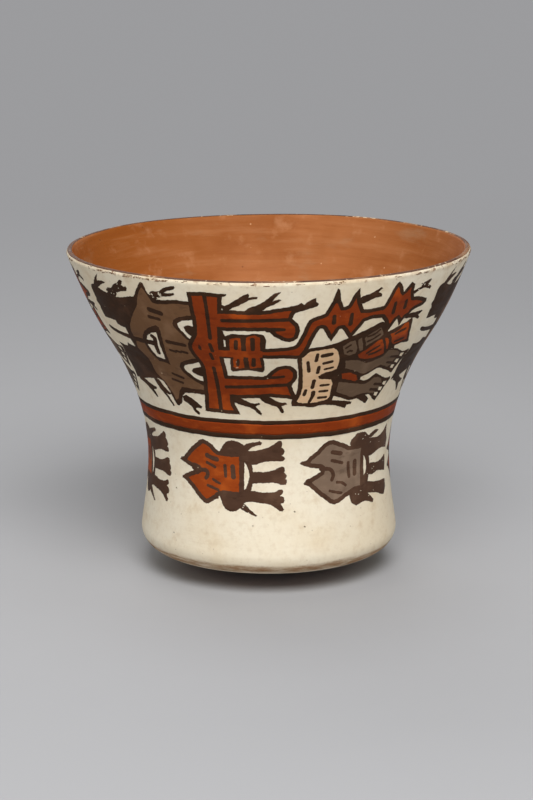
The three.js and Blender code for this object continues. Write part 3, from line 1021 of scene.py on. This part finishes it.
def paint_staff(painting):
    """The staff with its two arms, the comb between them and the streamer, in one red shape."""
    painting.fill("dark", [
        (-15.1, 116.5), (-12.8, 115.9), (-12.4, 113.6), (-10.6, 114.6), (-6.2, 114.6), (-2.9, 115.1),
        (-0.7, 114.4), (-0.1, 112.8), (-0.6, 106), (-15.1, 106)], [
        (-11.7, 104), (-12.3, 97.1), (-11.8, 96.4), (-7.2, 97.3), (-1.2, 96.5), (-0.7, 97.5), (-1.1, 104)])
    painting.bare([(-13.2, 108.5), (-13, 111.8), (-12.5, 111.6), (-12.6, 108.4)])
    painting.outlined("red", 1.9, STAFF, UPPER_ARM, LOWER_ARM, STREAMER)
    painting.fill("red", [
        (-17, 103.6), (-1.2, 103.7), (-1.2, 106.8), (-17, 106.8)], [
        (-11.6, 106), (-11.1, 112.3), (-9.1, 113.1), (-7.8, 112.9), (-7.8, 106)], [
        (-6.3, 106), (-6.1, 113), (-5.1, 113.9), (-3.5, 114.3), (-1.8, 113.2), (-1.9, 106)], [
        (-10.6, 104.4), (-7.5, 104.4), (-7.4, 98.6), (-10.4, 98), (-11.2, 99)], [
        (-5.9, 104.4), (-2.1, 104.4), (-1.7, 98.9), (-5.6, 98.2)])
    painting.lines(
        (1.7, (-9.2, 111.3), (-9.5, 107.9)),
        (2, (-4.1, 112.4), (-4.2, 107.6)),
        (1.3, (-9.2, 102.3), (-9.6, 99.7)),
        (1.9, (-4.1, 102.8), (-4.3, 99.8)),
        (1.7, (-16.9, 132.5), (-16.8, 127.3), (-16.9, 119.3), (-17.2, 112.3)),
        (1.8, (-18.4, 97.7), (-18.5, 88.8), (-19, 77)))
    painting.fill("dark", [(-22, 107.4), (-21.5, 109), (-20.8, 107.6), (-21, 106.1), (-21.8, 106.4)])
    painting.lines(
        (1.7, (-17.7, 109.2), (-17.3, 106.2)),
        (1.6, (-18.2, 104.5), (-17.9, 102.3)),
        (1.8, (-12.6, 120.9), (-3, 121.1), (6.8, 121.6)),
        ((2.4, 1.5), (0.4, 116.8), (2.5, 117), (5.2, 117)),
        (1.8, (-15.1, 88.6), (-3, 89.4), (8.8, 90.2)),
        ((1.8, 1.4), (-0.3, 93.9), (2.5, 93.8), (5.9, 94.2)))
    slits = ((19.7, 122.2, 119.3), (25.1, 122.6, 118.2), (39.5, 125.2, 120.9), (43.7, 125.5, 122.5))
    for angle, high, low in slits:
        painting.stroke("dark", (1.7, 2.1), (angle, high), (angle + 0.2, low))


def paint_feathers(painting):
    """Forked feathers tied to the staff, its arms and the streamer."""
    painting.fill("dark", [
        (6.5, 127.4), (9, 128.5), (9.8, 129.1), (10.5, 128.1), (12.4, 130.4), (13.8, 131.1),
        (13.8, 129.4), (14.6, 128.2), (14.3, 127.4), (11.4, 125.9), (10.1, 125.4), (8, 124.6)], [
        (-13, 128.5), (-11.4, 127.7), (-8.1, 130.6), (-5.5, 133.2), (-4.8, 133.6), (-4.5, 132.8),
        (-4.7, 131.8), (-2.2, 132), (-2.3, 131.1), (-4.1, 130.7), (-5.6, 129.7), (-7.7, 127.9),
        (-9.9, 126.3), (-11.5, 124.5)], [
        (-6.6, 125), (-4.7, 127), (-2.1, 128.5), (0.1, 130.8), (2.1, 133.3), (4.1, 134.3), (3.1, 132.5),
        (1.6, 129.9), (3.4, 130.9), (4.1, 130.4), (2.7, 128.9), (0.1, 127.1), (-1.7, 125)], [
        (-14.1, 84.4), (-11.1, 83.8), (-8.3, 82.3), (-5.1, 80.9), (-3.1, 81.3), (-2.5, 80.6),
        (-4.6, 79.6), (-2, 76.3), (-2.3, 75.3), (-3.2, 75.8), (-5.2, 78), (-7, 79), (-9.9, 80),
        (-12.8, 81.1)], [
        (-3, 84.6), (0, 84.9), (1.8, 83.6), (4.7, 81.8), (7.5, 81.3), (8.1, 80.6), (5.9, 79.8), (7, 77.1),
        (6.6, 76.3), (5.6, 76.9), (4.3, 79.1), (1.8, 80.3), (-1.8, 82.2)], [
        (26.2, 129.4), (27.2, 130.3), (30.1, 131.4), (32.8, 133.6), (33.3, 132.9), (32.1, 131.4),
        (33.5, 130.4), (33.5, 129.3), (30.9, 128.7), (27.8, 127.1), (26.6, 127.6)])
    painting.dry_fill([
        (45.4, 129.4), (48.4, 130.8), (47.9, 132.1), (50.5, 132.9), (51.8, 133.5), (52.3, 133),
        (51.3, 131.1), (52.6, 130.4), (53.3, 129.5), (53, 128.6), (51.7, 129.3), (49.2, 129.8), (46, 128)], 5)
    painting.fill("dark", [
        (45.6, 117), (47.4, 118.7), (51.4, 118.9), (53.3, 119.1), (53.8, 118.6), (52.4, 117),
        (53.6, 115.9), (53.2, 115.1), (51.2, 116.1), (49.4, 116.4)], [
        (38.3, 80.4), (39.1, 82), (42.2, 81.6), (45.6, 79), (44.8, 76.9), (43.6, 77.2), (42.9, 77.8)], [
        (25, 81), (28.1, 80.9), (32.6, 80), (36.5, 79.1), (36.2, 78.1), (34, 78), (33.8, 76.3),
        (31.4, 77.3), (28.7, 78.4), (25, 79)])


def paint_tunic(painting):
    painting.fill("dark", [
        (10, 102.4), (10.8, 104), (12.4, 106.8), (13.5, 107.6), (17.6, 108.3), (20.5, 109.1), (25, 109.9),
        (28, 106), (28.2, 100), (27.6, 88), (26.2, 79), (22.3, 79.3), (18.5, 78.6), (15, 79.2),
        (9.9, 79.7), (9.7, 82.1), (11.2, 85.4), (11.5, 89.9), (11.3, 94), (10.7, 98.5)])
    painting.fill("buff", [
        (11.6, 103.1), (12.5, 104.1), (13.9, 106.2), (19, 106.9), (21.7, 107.3), (22.7, 106.5),
        (24.8, 101.7), (25.5, 99.6), (25.5, 97.8), (24.5, 96.4), (19.9, 94.8), (18.5, 93.4), (19.3, 92.4),
        (23.8, 91.5), (25.5, 88.8), (24.9, 82.9), (24.3, 81.8), (17.4, 80.7), (12.5, 81.2), (11.7, 82),
        (12.9, 84.6), (13.3, 90.4), (12.2, 98.5)])
    painting.lines(
        (1.5, (13.8, 101.1), (14.8, 96.4)),
        (1.6, (16.6, 104.6), (16.6, 101.6)),
        (1.6, (18.1, 98.3), (18.1, 95.6)),
        (1.8, (17.4, 91.5), (17.2, 88.3)),
        (1.6, (14.8, 87), (14.4, 84.9)),
        ((2, 1.3), (17.9, 85.8), (17.9, 84.5), (16.8, 81)),
        (2.1, (18.5, 103.8), (21.4, 104.3)),
        (1.6, (19.6, 100), (22.3, 100.6)),
        (1.3, (20.5, 97), (23.3, 97.6)))
    for height in (89, 86.1, 83):
        painting.stroke("dark", 1.3, (20.4, height), (23.5, height))


def paint_tail(painting):
    """A fan of brown and red plates, each with lines brushed along it."""
    painting.fill("dark", [
        (20.4, 108.6), (25.6, 111.4), (32.8, 115.3), (36.5, 117.4), (38.4, 116.2), (40.6, 111.8),
        (44.3, 113.7), (47.3, 114.9), (49.8, 116.8), (50.7, 114), (52.1, 108.9), (53.8, 104.9),
        (53.3, 104.3), (49.6, 104.7), (46.9, 104.1), (47.3, 102.7), (45.1, 102.6), (42.8, 100.3),
        (36.9, 97.9), (33, 99.6), (27.5, 100.4), (25.1, 101.4), (24.1, 104.3), (22.8, 107.1)])
    painting.fill("umber", [
        (24.8, 107.8), (27.4, 109.8), (28.6, 110), (29.4, 108.2), (30.4, 104.8), (30.2, 103.5),
        (28.3, 102.9), (26.3, 103.6), (25.1, 106.2)], [
        (29.7, 110.2), (30.7, 111), (31.7, 108.3), (32.7, 104.9), (31.7, 104.3), (30.5, 107)], [
        (31.9, 110.5), (32.7, 111.5), (36.8, 114.6), (37.9, 113.1), (38.9, 110.9), (37.8, 109.5),
        (35, 107.7), (33.5, 106.5), (32.9, 108.1)])
    painting.fill("red", [
        (31.5, 102.6), (34.6, 105.1), (38.4, 108.5), (39.2, 108.7), (40.5, 106.7), (43.1, 101.1),
        (42.4, 100.8), (36.2, 99.8), (32.7, 101)], [
        (40.4, 109.1), (42, 108.3), (43.1, 106.1), (43.8, 103.5), (43.3, 103.1), (41.6, 106.5)], [
        (42, 110.4), (45, 111.5), (47.2, 114.5), (48.7, 114.7), (49.8, 112.8), (50.5, 109.8),
        (52.1, 106.1), (49.3, 105.7), (45.8, 105), (44.6, 105.8), (43.2, 109)])
    painting.lines(
        (1.1, (26, 106.7), (27.4, 107.9)),
        (1.1, (27.1, 104.7), (27.7, 105.2), (28.6, 104.9)),
        (1.1, (32.9, 111.1), (35.1, 111.8), (36.8, 113.6)),
        (1.1, (33.4, 108.7), (35, 109.4), (37.5, 111.3)),
        (1.3, (35.1, 102.8), (37, 104.2), (39.2, 105.6)),
        (1.3, (36.3, 101.9), (38.5, 102.4), (40.6, 103.4)),
        (1.5, (44.5, 110.1), (46.4, 111), (48.4, 111.6)),
        (1.4, (45.9, 106.2), (49.6, 107)))


def paint_legs(painting):
    painting.fill("dark", [
        (25, 101.7), (31.7, 100.4), (36.6, 98.1), (38.1, 99.3), (42.6, 100.6), (45, 102.7), (48.2, 102.5),
        (52.3, 100.6), (55.1, 99.6), (58.1, 100), (58.8, 99.2), (54.5, 89.3), (51.7, 90.8), (47.5, 92.7),
        (44.8, 93.7), (43.2, 93.6), (39.5, 91.6), (36.9, 90.8), (36.9, 89.6), (38.8, 88.8), (40.4, 88.8),
        (44.4, 91.2), (46.6, 90.2), (50.1, 88.2), (53.4, 87.3), (55.1, 87.5), (56, 86.3), (50.6, 77),
        (49, 77.9), (46.6, 79.9), (44.6, 81.1), (42.3, 81), (35.1, 80.1), (27.7, 82.9), (25, 83.6)])
    painting.fill("umber", [
        (27.5, 100.3), (32.1, 99.9), (36.8, 97.7), (38.1, 97.8), (43.3, 99.4), (45.2, 102.3),
        (48.2, 101.6), (52.1, 99.7), (52.9, 98.2), (51.5, 96.3), (50.9, 94), (49.5, 93.3), (44.4, 95.3),
        (43.1, 94.6), (38.7, 92.5), (37, 92.5), (34.2, 93.8), (30.6, 95.6), (28.4, 96.4)])
    painting.fill("red", [
        (27.7, 93.9), (30.7, 93.9), (34.6, 92), (35.7, 89.7), (34.7, 89.2), (28.6, 91.4)])
    painting.fill("umber", [
        (27.6, 89.8), (34, 88.3), (39.9, 87), (41.9, 87.3), (44.3, 89.2), (46.4, 89), (49.6, 87.1),
        (50.9, 85), (49.4, 82.6), (47.7, 81), (46, 81.4), (43, 82.2), (39.7, 82.1), (35.2, 81.6),
        (31.8, 83.1), (27.5, 85.1)])
    painting.lines(
        (1.3, (48.4, 98.4), (52.8, 97.6)),
        (1.3, (47.8, 95.8), (52.8, 94.5)),
        (1.4, (46.2, 85.7), (50.2, 84.8)),
        (1.4, (45, 83.4), (48.8, 82.5)))
    nails = ((53.7, 97.7), (52.8, 94.9), (51.6, 92.4), (51.7, 84.4), (50.2, 82.1), (48.5, 80))
    for angle, height in nails:
        painting.bare([
            (angle, height), (angle, height + 1.4), (angle + 2.3, height + 1.1), (angle + 2.1, height - 0.8)])


DASH_HEIGHT = 137.1
DASH_STRAY = 0.3
DASH_LENGTH = 0.5
DASH_WIDTHS = (0.1, 0.3)
SHORTEST_DASH = 0.1


def paint_worn_rim(painting):
    """What is left of a line along the lip: crumbs and short dashes, thick in some places."""
    clusters = (
        (-60, -44, 30), (-43, -35, 30), (-34, -22, 24), (-16, -12, 4), (-10, 14, 5), (15, 21, 16),
        (36, 38, 5), (44, 50, 10))
    for start, end, count in clusters:
        for angle in painting.hand.uniform(start, end, count):
            height = painting.hand.normal(DASH_HEIGHT, DASH_STRAY)
            length = painting.hand.exponential(DASH_LENGTH)
            width = painting.hand.uniform(*DASH_WIDTHS)
            painting.stroke("brown", width, (angle, height), (angle + length + SHORTEST_DASH, height))


def paint_upper_figure():
    painting = Painting(seed=7, turn=-0.7)
    for paint_part in (
            paint_hair, paint_head, paint_eyes, paint_feathers, paint_staff, paint_tunic, paint_tail,
            paint_legs, paint_worn_rim):
        paint_part(painting)
    return painting


RED_FACE = [
    (-44, 51.3), (-43.2, 52), (-41.8, 52.4), (-39.5, 54.8), (-36, 58), (-33, 60.4), (-31, 61.8),
    (-29.4, 62.2), (-27.5, 61.6), (-25, 60), (-22.6, 57.8), (-20, 57.4), (-10.4, 57.8), (-10.4, 37.5),
    (-20, 37.9), (-22.3, 37.3), (-22.4, 36.4), (-24, 35.6), (-26.5, 34), (-28.5, 33.3), (-30.4, 34),
    (-33, 36), (-36, 38.6), (-39, 41), (-41.4, 42.4), (-42.7, 42.5), (-42.9, 43.4), (-40.4, 45),
    (-37, 46.7), (-33.5, 47.7), (-33.6, 48.4), (-37, 48.6), (-40.5, 49.6), (-43.8, 50.8)]
GREY_FACE = [
    (15.3, 52.6), (16, 53.5), (17.8, 53.6), (20, 55.3), (23, 57.6), (26, 60.3), (28, 61.6), (30, 61.9),
    (32, 61.5), (35, 60.3), (38, 59), (40, 58), (43, 57.6), (50.2, 57.4), (50.2, 36.3), (43, 36.5),
    (40.3, 35.4), (39, 35), (36.5, 34), (34, 33), (32, 32.7), (29.5, 33.8), (27, 35.6), (24, 38),
    (21, 40.6), (19, 42.4), (17.2, 42.7), (17, 43.4), (18.3, 45), (20, 45.4), (23, 46.9), (25.3, 47.8),
    (25.8, 49.2), (22, 49.9), (18.5, 50.9), (15.8, 51.9)]
UPPER_HAND = [
    (-13, 56), (-12, 60), (-8, 58.6), (-4, 59), (0, 60.1), (2.5, 61.4), (4.5, 62.6), (5.6, 63.5),
    (6.6, 63.2), (7.1, 61.9), (6.5, 60.3), (7.6, 59.6), (8, 58.3), (7.6, 57), (6.7, 56.6), (7.9, 56),
    (8.2, 55), (7.4, 54), (5.5, 54), (2.5, 54.2), (0, 53.9), (-3, 53.2), (-5, 52.4), (-6.8, 52.2),
    (-8, 53.5), (-10, 55)]
MIDDLE_HAND = [
    (-7, 48.8), (-4, 49.2), (0, 49.3), (3, 50), (5, 51), (6.6, 51.6), (8, 51.2), (8.4, 50), (8, 49),
    (8.9, 48.2), (9.1, 47), (8.5, 46), (9.2, 45.3), (9.4, 44.3), (8.6, 43.4), (7, 43.4), (5, 44),
    (2, 44.4), (-2, 44.2), (-7, 43.8)]
LOWER_HAND = [
    (-9.8, 41), (-7.5, 40.6), (-5, 40.5), (-1, 40), (2, 40.1), (4, 40.4), (6, 41.3), (7.2, 41.2),
    (7.6, 40.1), (7, 39.2), (6, 38.6), (7.6, 38), (8.2, 36.6), (7.8, 35.4), (6.4, 35), (7.2, 33.6),
    (7.8, 32.6), (7.2, 31.7), (6, 31.7), (4.5, 33), (2.5, 34.3), (0, 35), (-4, 35.5), (-8, 35.7),
    (-9.6, 35.4), (-11, 34), (-12, 33), (-12.5, 41)]


def paint_hands(painting):
    """Ears, collar and the three hands behind a red face."""
    painting.fill("dark", [
        (-21.8, 56.6), (-20.6, 59.2), (-19, 61.4), (-17, 62.6), (-14.5, 63), (-12.4, 62.4), (-10.6, 61.3),
        (-9, 60), (-9, 56), (-20.2, 55.5)], [
        (-22.3, 38.5), (-21.2, 36), (-20.2, 33.6), (-18.4, 31.8), (-16, 31), (-13.8, 31.5), (-12, 32.6),
        (-10.4, 32.8), (-10, 38.8), (-15, 38.6), (-20.7, 39)], [
        (-12, 57), (-10.2, 56), (-8, 54), (-6.8, 52.3), (-6.1, 49.5), (-6, 46.5), (-6.5, 42.8),
        (-7.3, 40.5), (-9, 39.4), (-12, 38.8)])
    painting.bare([
        (-10, 53.3), (-8.6, 51), (-7.9, 48), (-8.3, 44.5), (-9.4, 41.8), (-10.2, 40.8), (-10.2, 47)])
    painting.fill("dark", UPPER_HAND, MIDDLE_HAND, LOWER_HAND, [
        (-11.4, 60.4), (-8.1, 62), (-3.1, 63.2), (-2, 62.5), (-2.6, 61.5), (-5.4, 60.7), (-7.9, 59.2),
        (-9.1, 57.4)])
    painting.dry_fill([
        (-12.3, 34.5), (-9.7, 34.6), (-6.9, 32), (-4.2, 29.8), (-4.8, 29.3), (-7.7, 30.6), (-11.4, 32.2)], 3)


def paint_dry_hands(painting):
    """Ears, collar and hands behind the grey face, brushed with less paint."""
    upper = [
        (40.5, 58.4), (41, 60.4), (43, 61.7), (44.3, 63), (49.4, 62.6), (52.7, 60.5), (58.4, 62.2),
        (60.8, 61.4), (55, 58.9), (61, 58.3), (66, 59.6), (69.4, 62.4), (70.9, 58.3), (73.5, 54.5),
        (72.6, 50.9), (64, 52.1), (57.9, 50.9), (53.7, 50.6), (49.6, 52.5), (48.3, 55.6), (44, 55.8)]
    middle = [
        (53, 46.2), (56, 47), (63.4, 46.3), (71.6, 47.8), (72.2, 44.8), (71.2, 40.5), (62, 42.3),
        (57.2, 41.7), (53, 42.5)]
    lower = [
        (52.8, 39.2), (60.4, 37.9), (71.4, 36.7), (71, 33.1), (68.3, 30.1), (64.7, 31.2), (59.7, 33),
        (53.3, 34.1), (57.6, 30.6), (56.8, 29.2), (50.1, 31.1), (44.8, 30.1), (41.8, 32.1), (40.6, 35.7),
        (42.2, 37.6), (48.1, 38.2)]
    painting.fill("dark", [(48.3, 56), (51.5, 54), (54.8, 50), (55, 44), (53.5, 38.6), (48.3, 37.5)])
    painting.bare([(50.4, 51.8), (52.4, 48.5), (52.6, 45.1), (50.8, 42.2)])
    for shape in (upper, middle, lower):
        painting.dry_fill(shape, 8)


def paint_red_head(painting, shift):
    painting.shift = shift
    painting.outlined("red", 2, RED_FACE)
    paint_hands(painting)
    painting.lines(
        (1.9, (-36, 48.3), (-31, 48), (-29, 48), (-28, 47.2), (-28.2, 45.6), (-29, 44.6)),
        (2.2, (-28, 54.9), (-25.5, 54), (-23.2, 53.6)),
        (1.4, (-28.2, 51.6), (-26, 50.8), (-24.2, 50)),
        (1.2, (-25.3, 44.4), (-23, 43.3), (-21.8, 42.9)),
        (1.3, (-28, 41.4), (-25, 40.6), (-22.5, 39.9)),
        (1.5, (-19.3, 51.2), (-19, 46.4)),
        (2.2, (-15.6, 51), (-15.3, 46.4)))
    painting.shift = (0, 0)


def paint_grey_head(painting):
    painting.outlined("grey", 2, GREY_FACE)
    paint_dry_hands(painting)
    painting.lines(
        (1.8, (25.5, 49.2), (28, 49), (30, 48.6), (31.5, 47.2), (32, 45.5), (31.2, 43.8)),
        (2, (31, 56.2), (33.5, 55.6), (35.8, 55)),
        (1.5, (31, 52.4), (34, 51.5), (36.7, 50.6)),
        (1.3, (34, 42.3), (36.5, 41.8), (38.8, 40.3)),
        (1.3, (30, 38.9), (33, 38), (36.3, 37.2)),
        (1.8, (40.3, 50), (40.5, 47), (41, 43.8)),
        (2.4, (44.4, 50), (44.5, 44.6)))


def paint_lower_heads():
    painting = Painting(seed=11, turn=-0.93)
    paint_red_head(painting, (-60.2, -1.8))
    paint_red_head(painting, (0, 0))
    paint_grey_head(painting)
    for angle, height in ((12.5, 31.5), (17, 24.7), (-46.8, 37.4), (-46.1, 17.7)):
        painting.stroke("umber", 0.4, (angle, height), (angle + 0.3, height - 0.2))
    return painting


# Pieces of the cup.

RED_ROUGHNESS = 0.48
DARK_ROUGHNESS = 0.5
MATT_ROUGHNESS = 0.55
LIP_FLECKS = 0.12

cream_slip = cream_slip_finish()
orange_slip = orange_slip_finish()
clay = clay_finish()
paints = {
    "red": paint_finish("red_paint", (136, 55, 18), (176, 82, 28), (114, 43, 14), RED_ROUGHNESS),
    "dark": paint_finish("dark_paint", (59, 40, 27), (80, 54, 38), (42, 27, 18), DARK_ROUGHNESS),
    "brown": paint_finish("brown_paint", (112, 81, 56), (132, 100, 74), (92, 66, 47), MATT_ROUGHNESS),
    "umber": paint_finish("umber_paint", (104, 83, 65), (122, 99, 79), (84, 65, 50), MATT_ROUGHNESS),
    "grey": paint_finish("grey_paint", (122, 101, 84), (144, 121, 102), (100, 81, 66), MATT_ROUGHNESS),
    "buff": paint_finish("buff_paint", (222, 185, 145), (232, 204, 168), (204, 164, 124), MATT_ROUGHNESS),
    "lip": paint_finish("lip_paint", (100, 72, 58), (158, 118, 88), (62, 42, 34), MATT_ROUGHNESS, LIP_FLECKS),
}
upper_paints = paints | {
    "red": paint_finish("deep_red", (131, 54, 20), (180, 80, 26), (108, 42, 16), RED_ROUGHNESS),
}
lower_paints = paints | {
    "red": paint_finish("bright_red", (148, 64, 22), (190, 94, 34), (124, 50, 18), RED_ROUGHNESS),
    "dark": paint_finish("thin_dark", (78, 55, 42), (98, 72, 56), (60, 41, 31), DARK_ROUGHNESS),
}
paint_slots = {"red": "red_paint", "dark": "dark_paint"}
turning = turning_tree()
laying = laying_tree()


def turned_piece(name, node, outline, columns, finish, closed=True, waver=0.0):
    piece = formed(name, edge_mesh(name, outline, closed), turning, {
        "Columns": columns, "Unevenness": UNEVENNESS * MM, "Waver": waver * MM, "Finish": finish})
    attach(piece, "root")
    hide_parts(node)


def clay_piece(name, node, outline, closed=True):
    turned_piece(name, node, outline, CLAY_COLUMNS, clay, closed)


def painted_pieces(name, painting, finishes, copies):
    wall = new_object("wall_curve", edge_mesh("wall_curve", surface, False))
    for paint, mesh in painting.sheets():
        piece = formed(f"{name}_{paint}", mesh, laying, {
            "Wall": wall, "Copies": copies, "Pitch": math.tau / copies,
            "Unevenness": UNEVENNESS * MM, "Wander": BRUSH_WANDER * MM, "Finish": finishes[paint]})
        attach(piece, "root")
        paint in paint_slots
    bpy.data.objects.remove(wall)


clay_piece("bottom_pad", "base_pad", pad_outline(), closed=False)
clay_piece("heel_ring", "heel_coil", heel_coil_outline())
for number in range(1, COIL_COUNT + 1):
    clay_piece(f"coil_{number}", f"wall_coil_{number}", wall_coil_outline(number))
clay_piece("rim_ring", "rim_coil", rim_coil_outline())
turned_piece("outer_slip", "outer_slip_coat", outer_slip_outline(), FINE_COLUMNS, cream_slip)
turned_piece("inner_slip", "inner_slip_coat", inner_slip_outline(), FINE_COLUMNS, orange_slip,
             closed=False)
turned_piece("lip_line", "lip_paint", lip_line_outline(), FINE_COLUMNS, paints["lip"])
band_foot, red_foot, red_top, band_top = BAND_EDGES
red_foot += LINE_SPREAD
red_top -= LINE_SPREAD
for name, node, paint, low, high in (
        ("band_low_line", "band_lower_line", "dark", band_foot, red_foot),
        ("band_red_ring", "band_red", "red", red_foot, red_top),
        ("band_high_line", "band_upper_line", "dark", red_top, band_top)):
    turned_piece(name, node, band_outline(low, high), BAND_COLUMNS, paints[paint],
                 waver=BAND_WAVER)
painted_pieces("upper_figures", paint_upper_figure(), upper_paints, copies=3)
painted_pieces("lower_heads", paint_lower_heads(), lower_paints, copies=2)


# Studio: a pale floor, soft lamps and the camera, in metres.

FLOOR_RADIUS = 6.0
FLOOR_CORNERS = 64
LAMPS = (
    # Name, place, size and power.
    ("key", (0.12, -1.08, 1.28), 0.9, 26.5),
    ("left_fill", (-1.25, -0.95, 0.6), 1.0, 4.5),
    ("right_fill", (1.25, -0.95, 0.6), 1.0, 4),
    ("top", (0, 0.2, 1.5), 0.8, 3.5),
    ("back_fill", (-0.4, 1.3, 0.9), 1.2, 8),
)
WORLD_LIGHT = 0.08
VIEWER_PLACE = (0, -1.0525, 0.3259)
VIEWER_PITCH = 76.58
LENS = 108.44
SENSOR_WIDTH = 36
SHIFT_ACROSS = -0.0026
SHIFT_UP = 0.0006


def pale_floor():
    turns = [i * math.tau / FLOOR_CORNERS for i in range(FLOOR_CORNERS)]
    points = [(FLOOR_RADIUS * math.cos(turn), FLOOR_RADIUS * math.sin(turn), 0) for turn in turns]
    mesh = bpy.data.meshes.new("pale_floor")
    mesh.from_pydata(points, [], [tuple(range(FLOOR_CORNERS))])
    mesh.materials.append(floor_finish())
    return new_object("pale_floor", mesh)


def soft_lamp(name, place, size, power):
    """A square lamp that is aimed at the middle of the cup."""
    aim = (0, 0, CUP_HEIGHT * MM / 2)
    lamp = bpy.data.lights.new(name, "AREA")
    lamp.size = size
    lamp.energy = power
    holder = new_object(name, lamp)
    holder.location = place
    holder.rotation_euler = (Vector(aim) - Vector(place)).to_track_quat("-Z", "Y").to_euler()


pale_floor()
for lamp in LAMPS:
    soft_lamp(*lamp)

world = bpy.data.worlds.new("studio")
bpy.context.scene.world = world
world.use_nodes = True
sky = Graph(world.node_tree)
sky.tree.nodes.clear()
light = sky.add("ShaderNodeBackground", {"Color": (1, 1, 1, 1), "Strength": WORLD_LIGHT})
tone = sky.add("ShaderNodeBackground", {"Color": BACKGROUND})
seen = sky.add("ShaderNodeMixShader", {0: background_share(sky), 1: light, 2: tone})
sky.add("ShaderNodeOutputWorld", (seen,))

camera = bpy.data.cameras.new("camera")
camera.lens = LENS
camera.sensor_width = SENSOR_WIDTH
camera.shift_x = SHIFT_ACROSS
camera.shift_y = SHIFT_UP
viewer = new_object("camera", camera)
viewer.location = VIEWER_PLACE
viewer.rotation_euler = (math.radians(VIEWER_PITCH), 0, 0)
bpy.context.scene.camera = viewer
bpy.context.scene.view_settings.view_transform = "Standard"
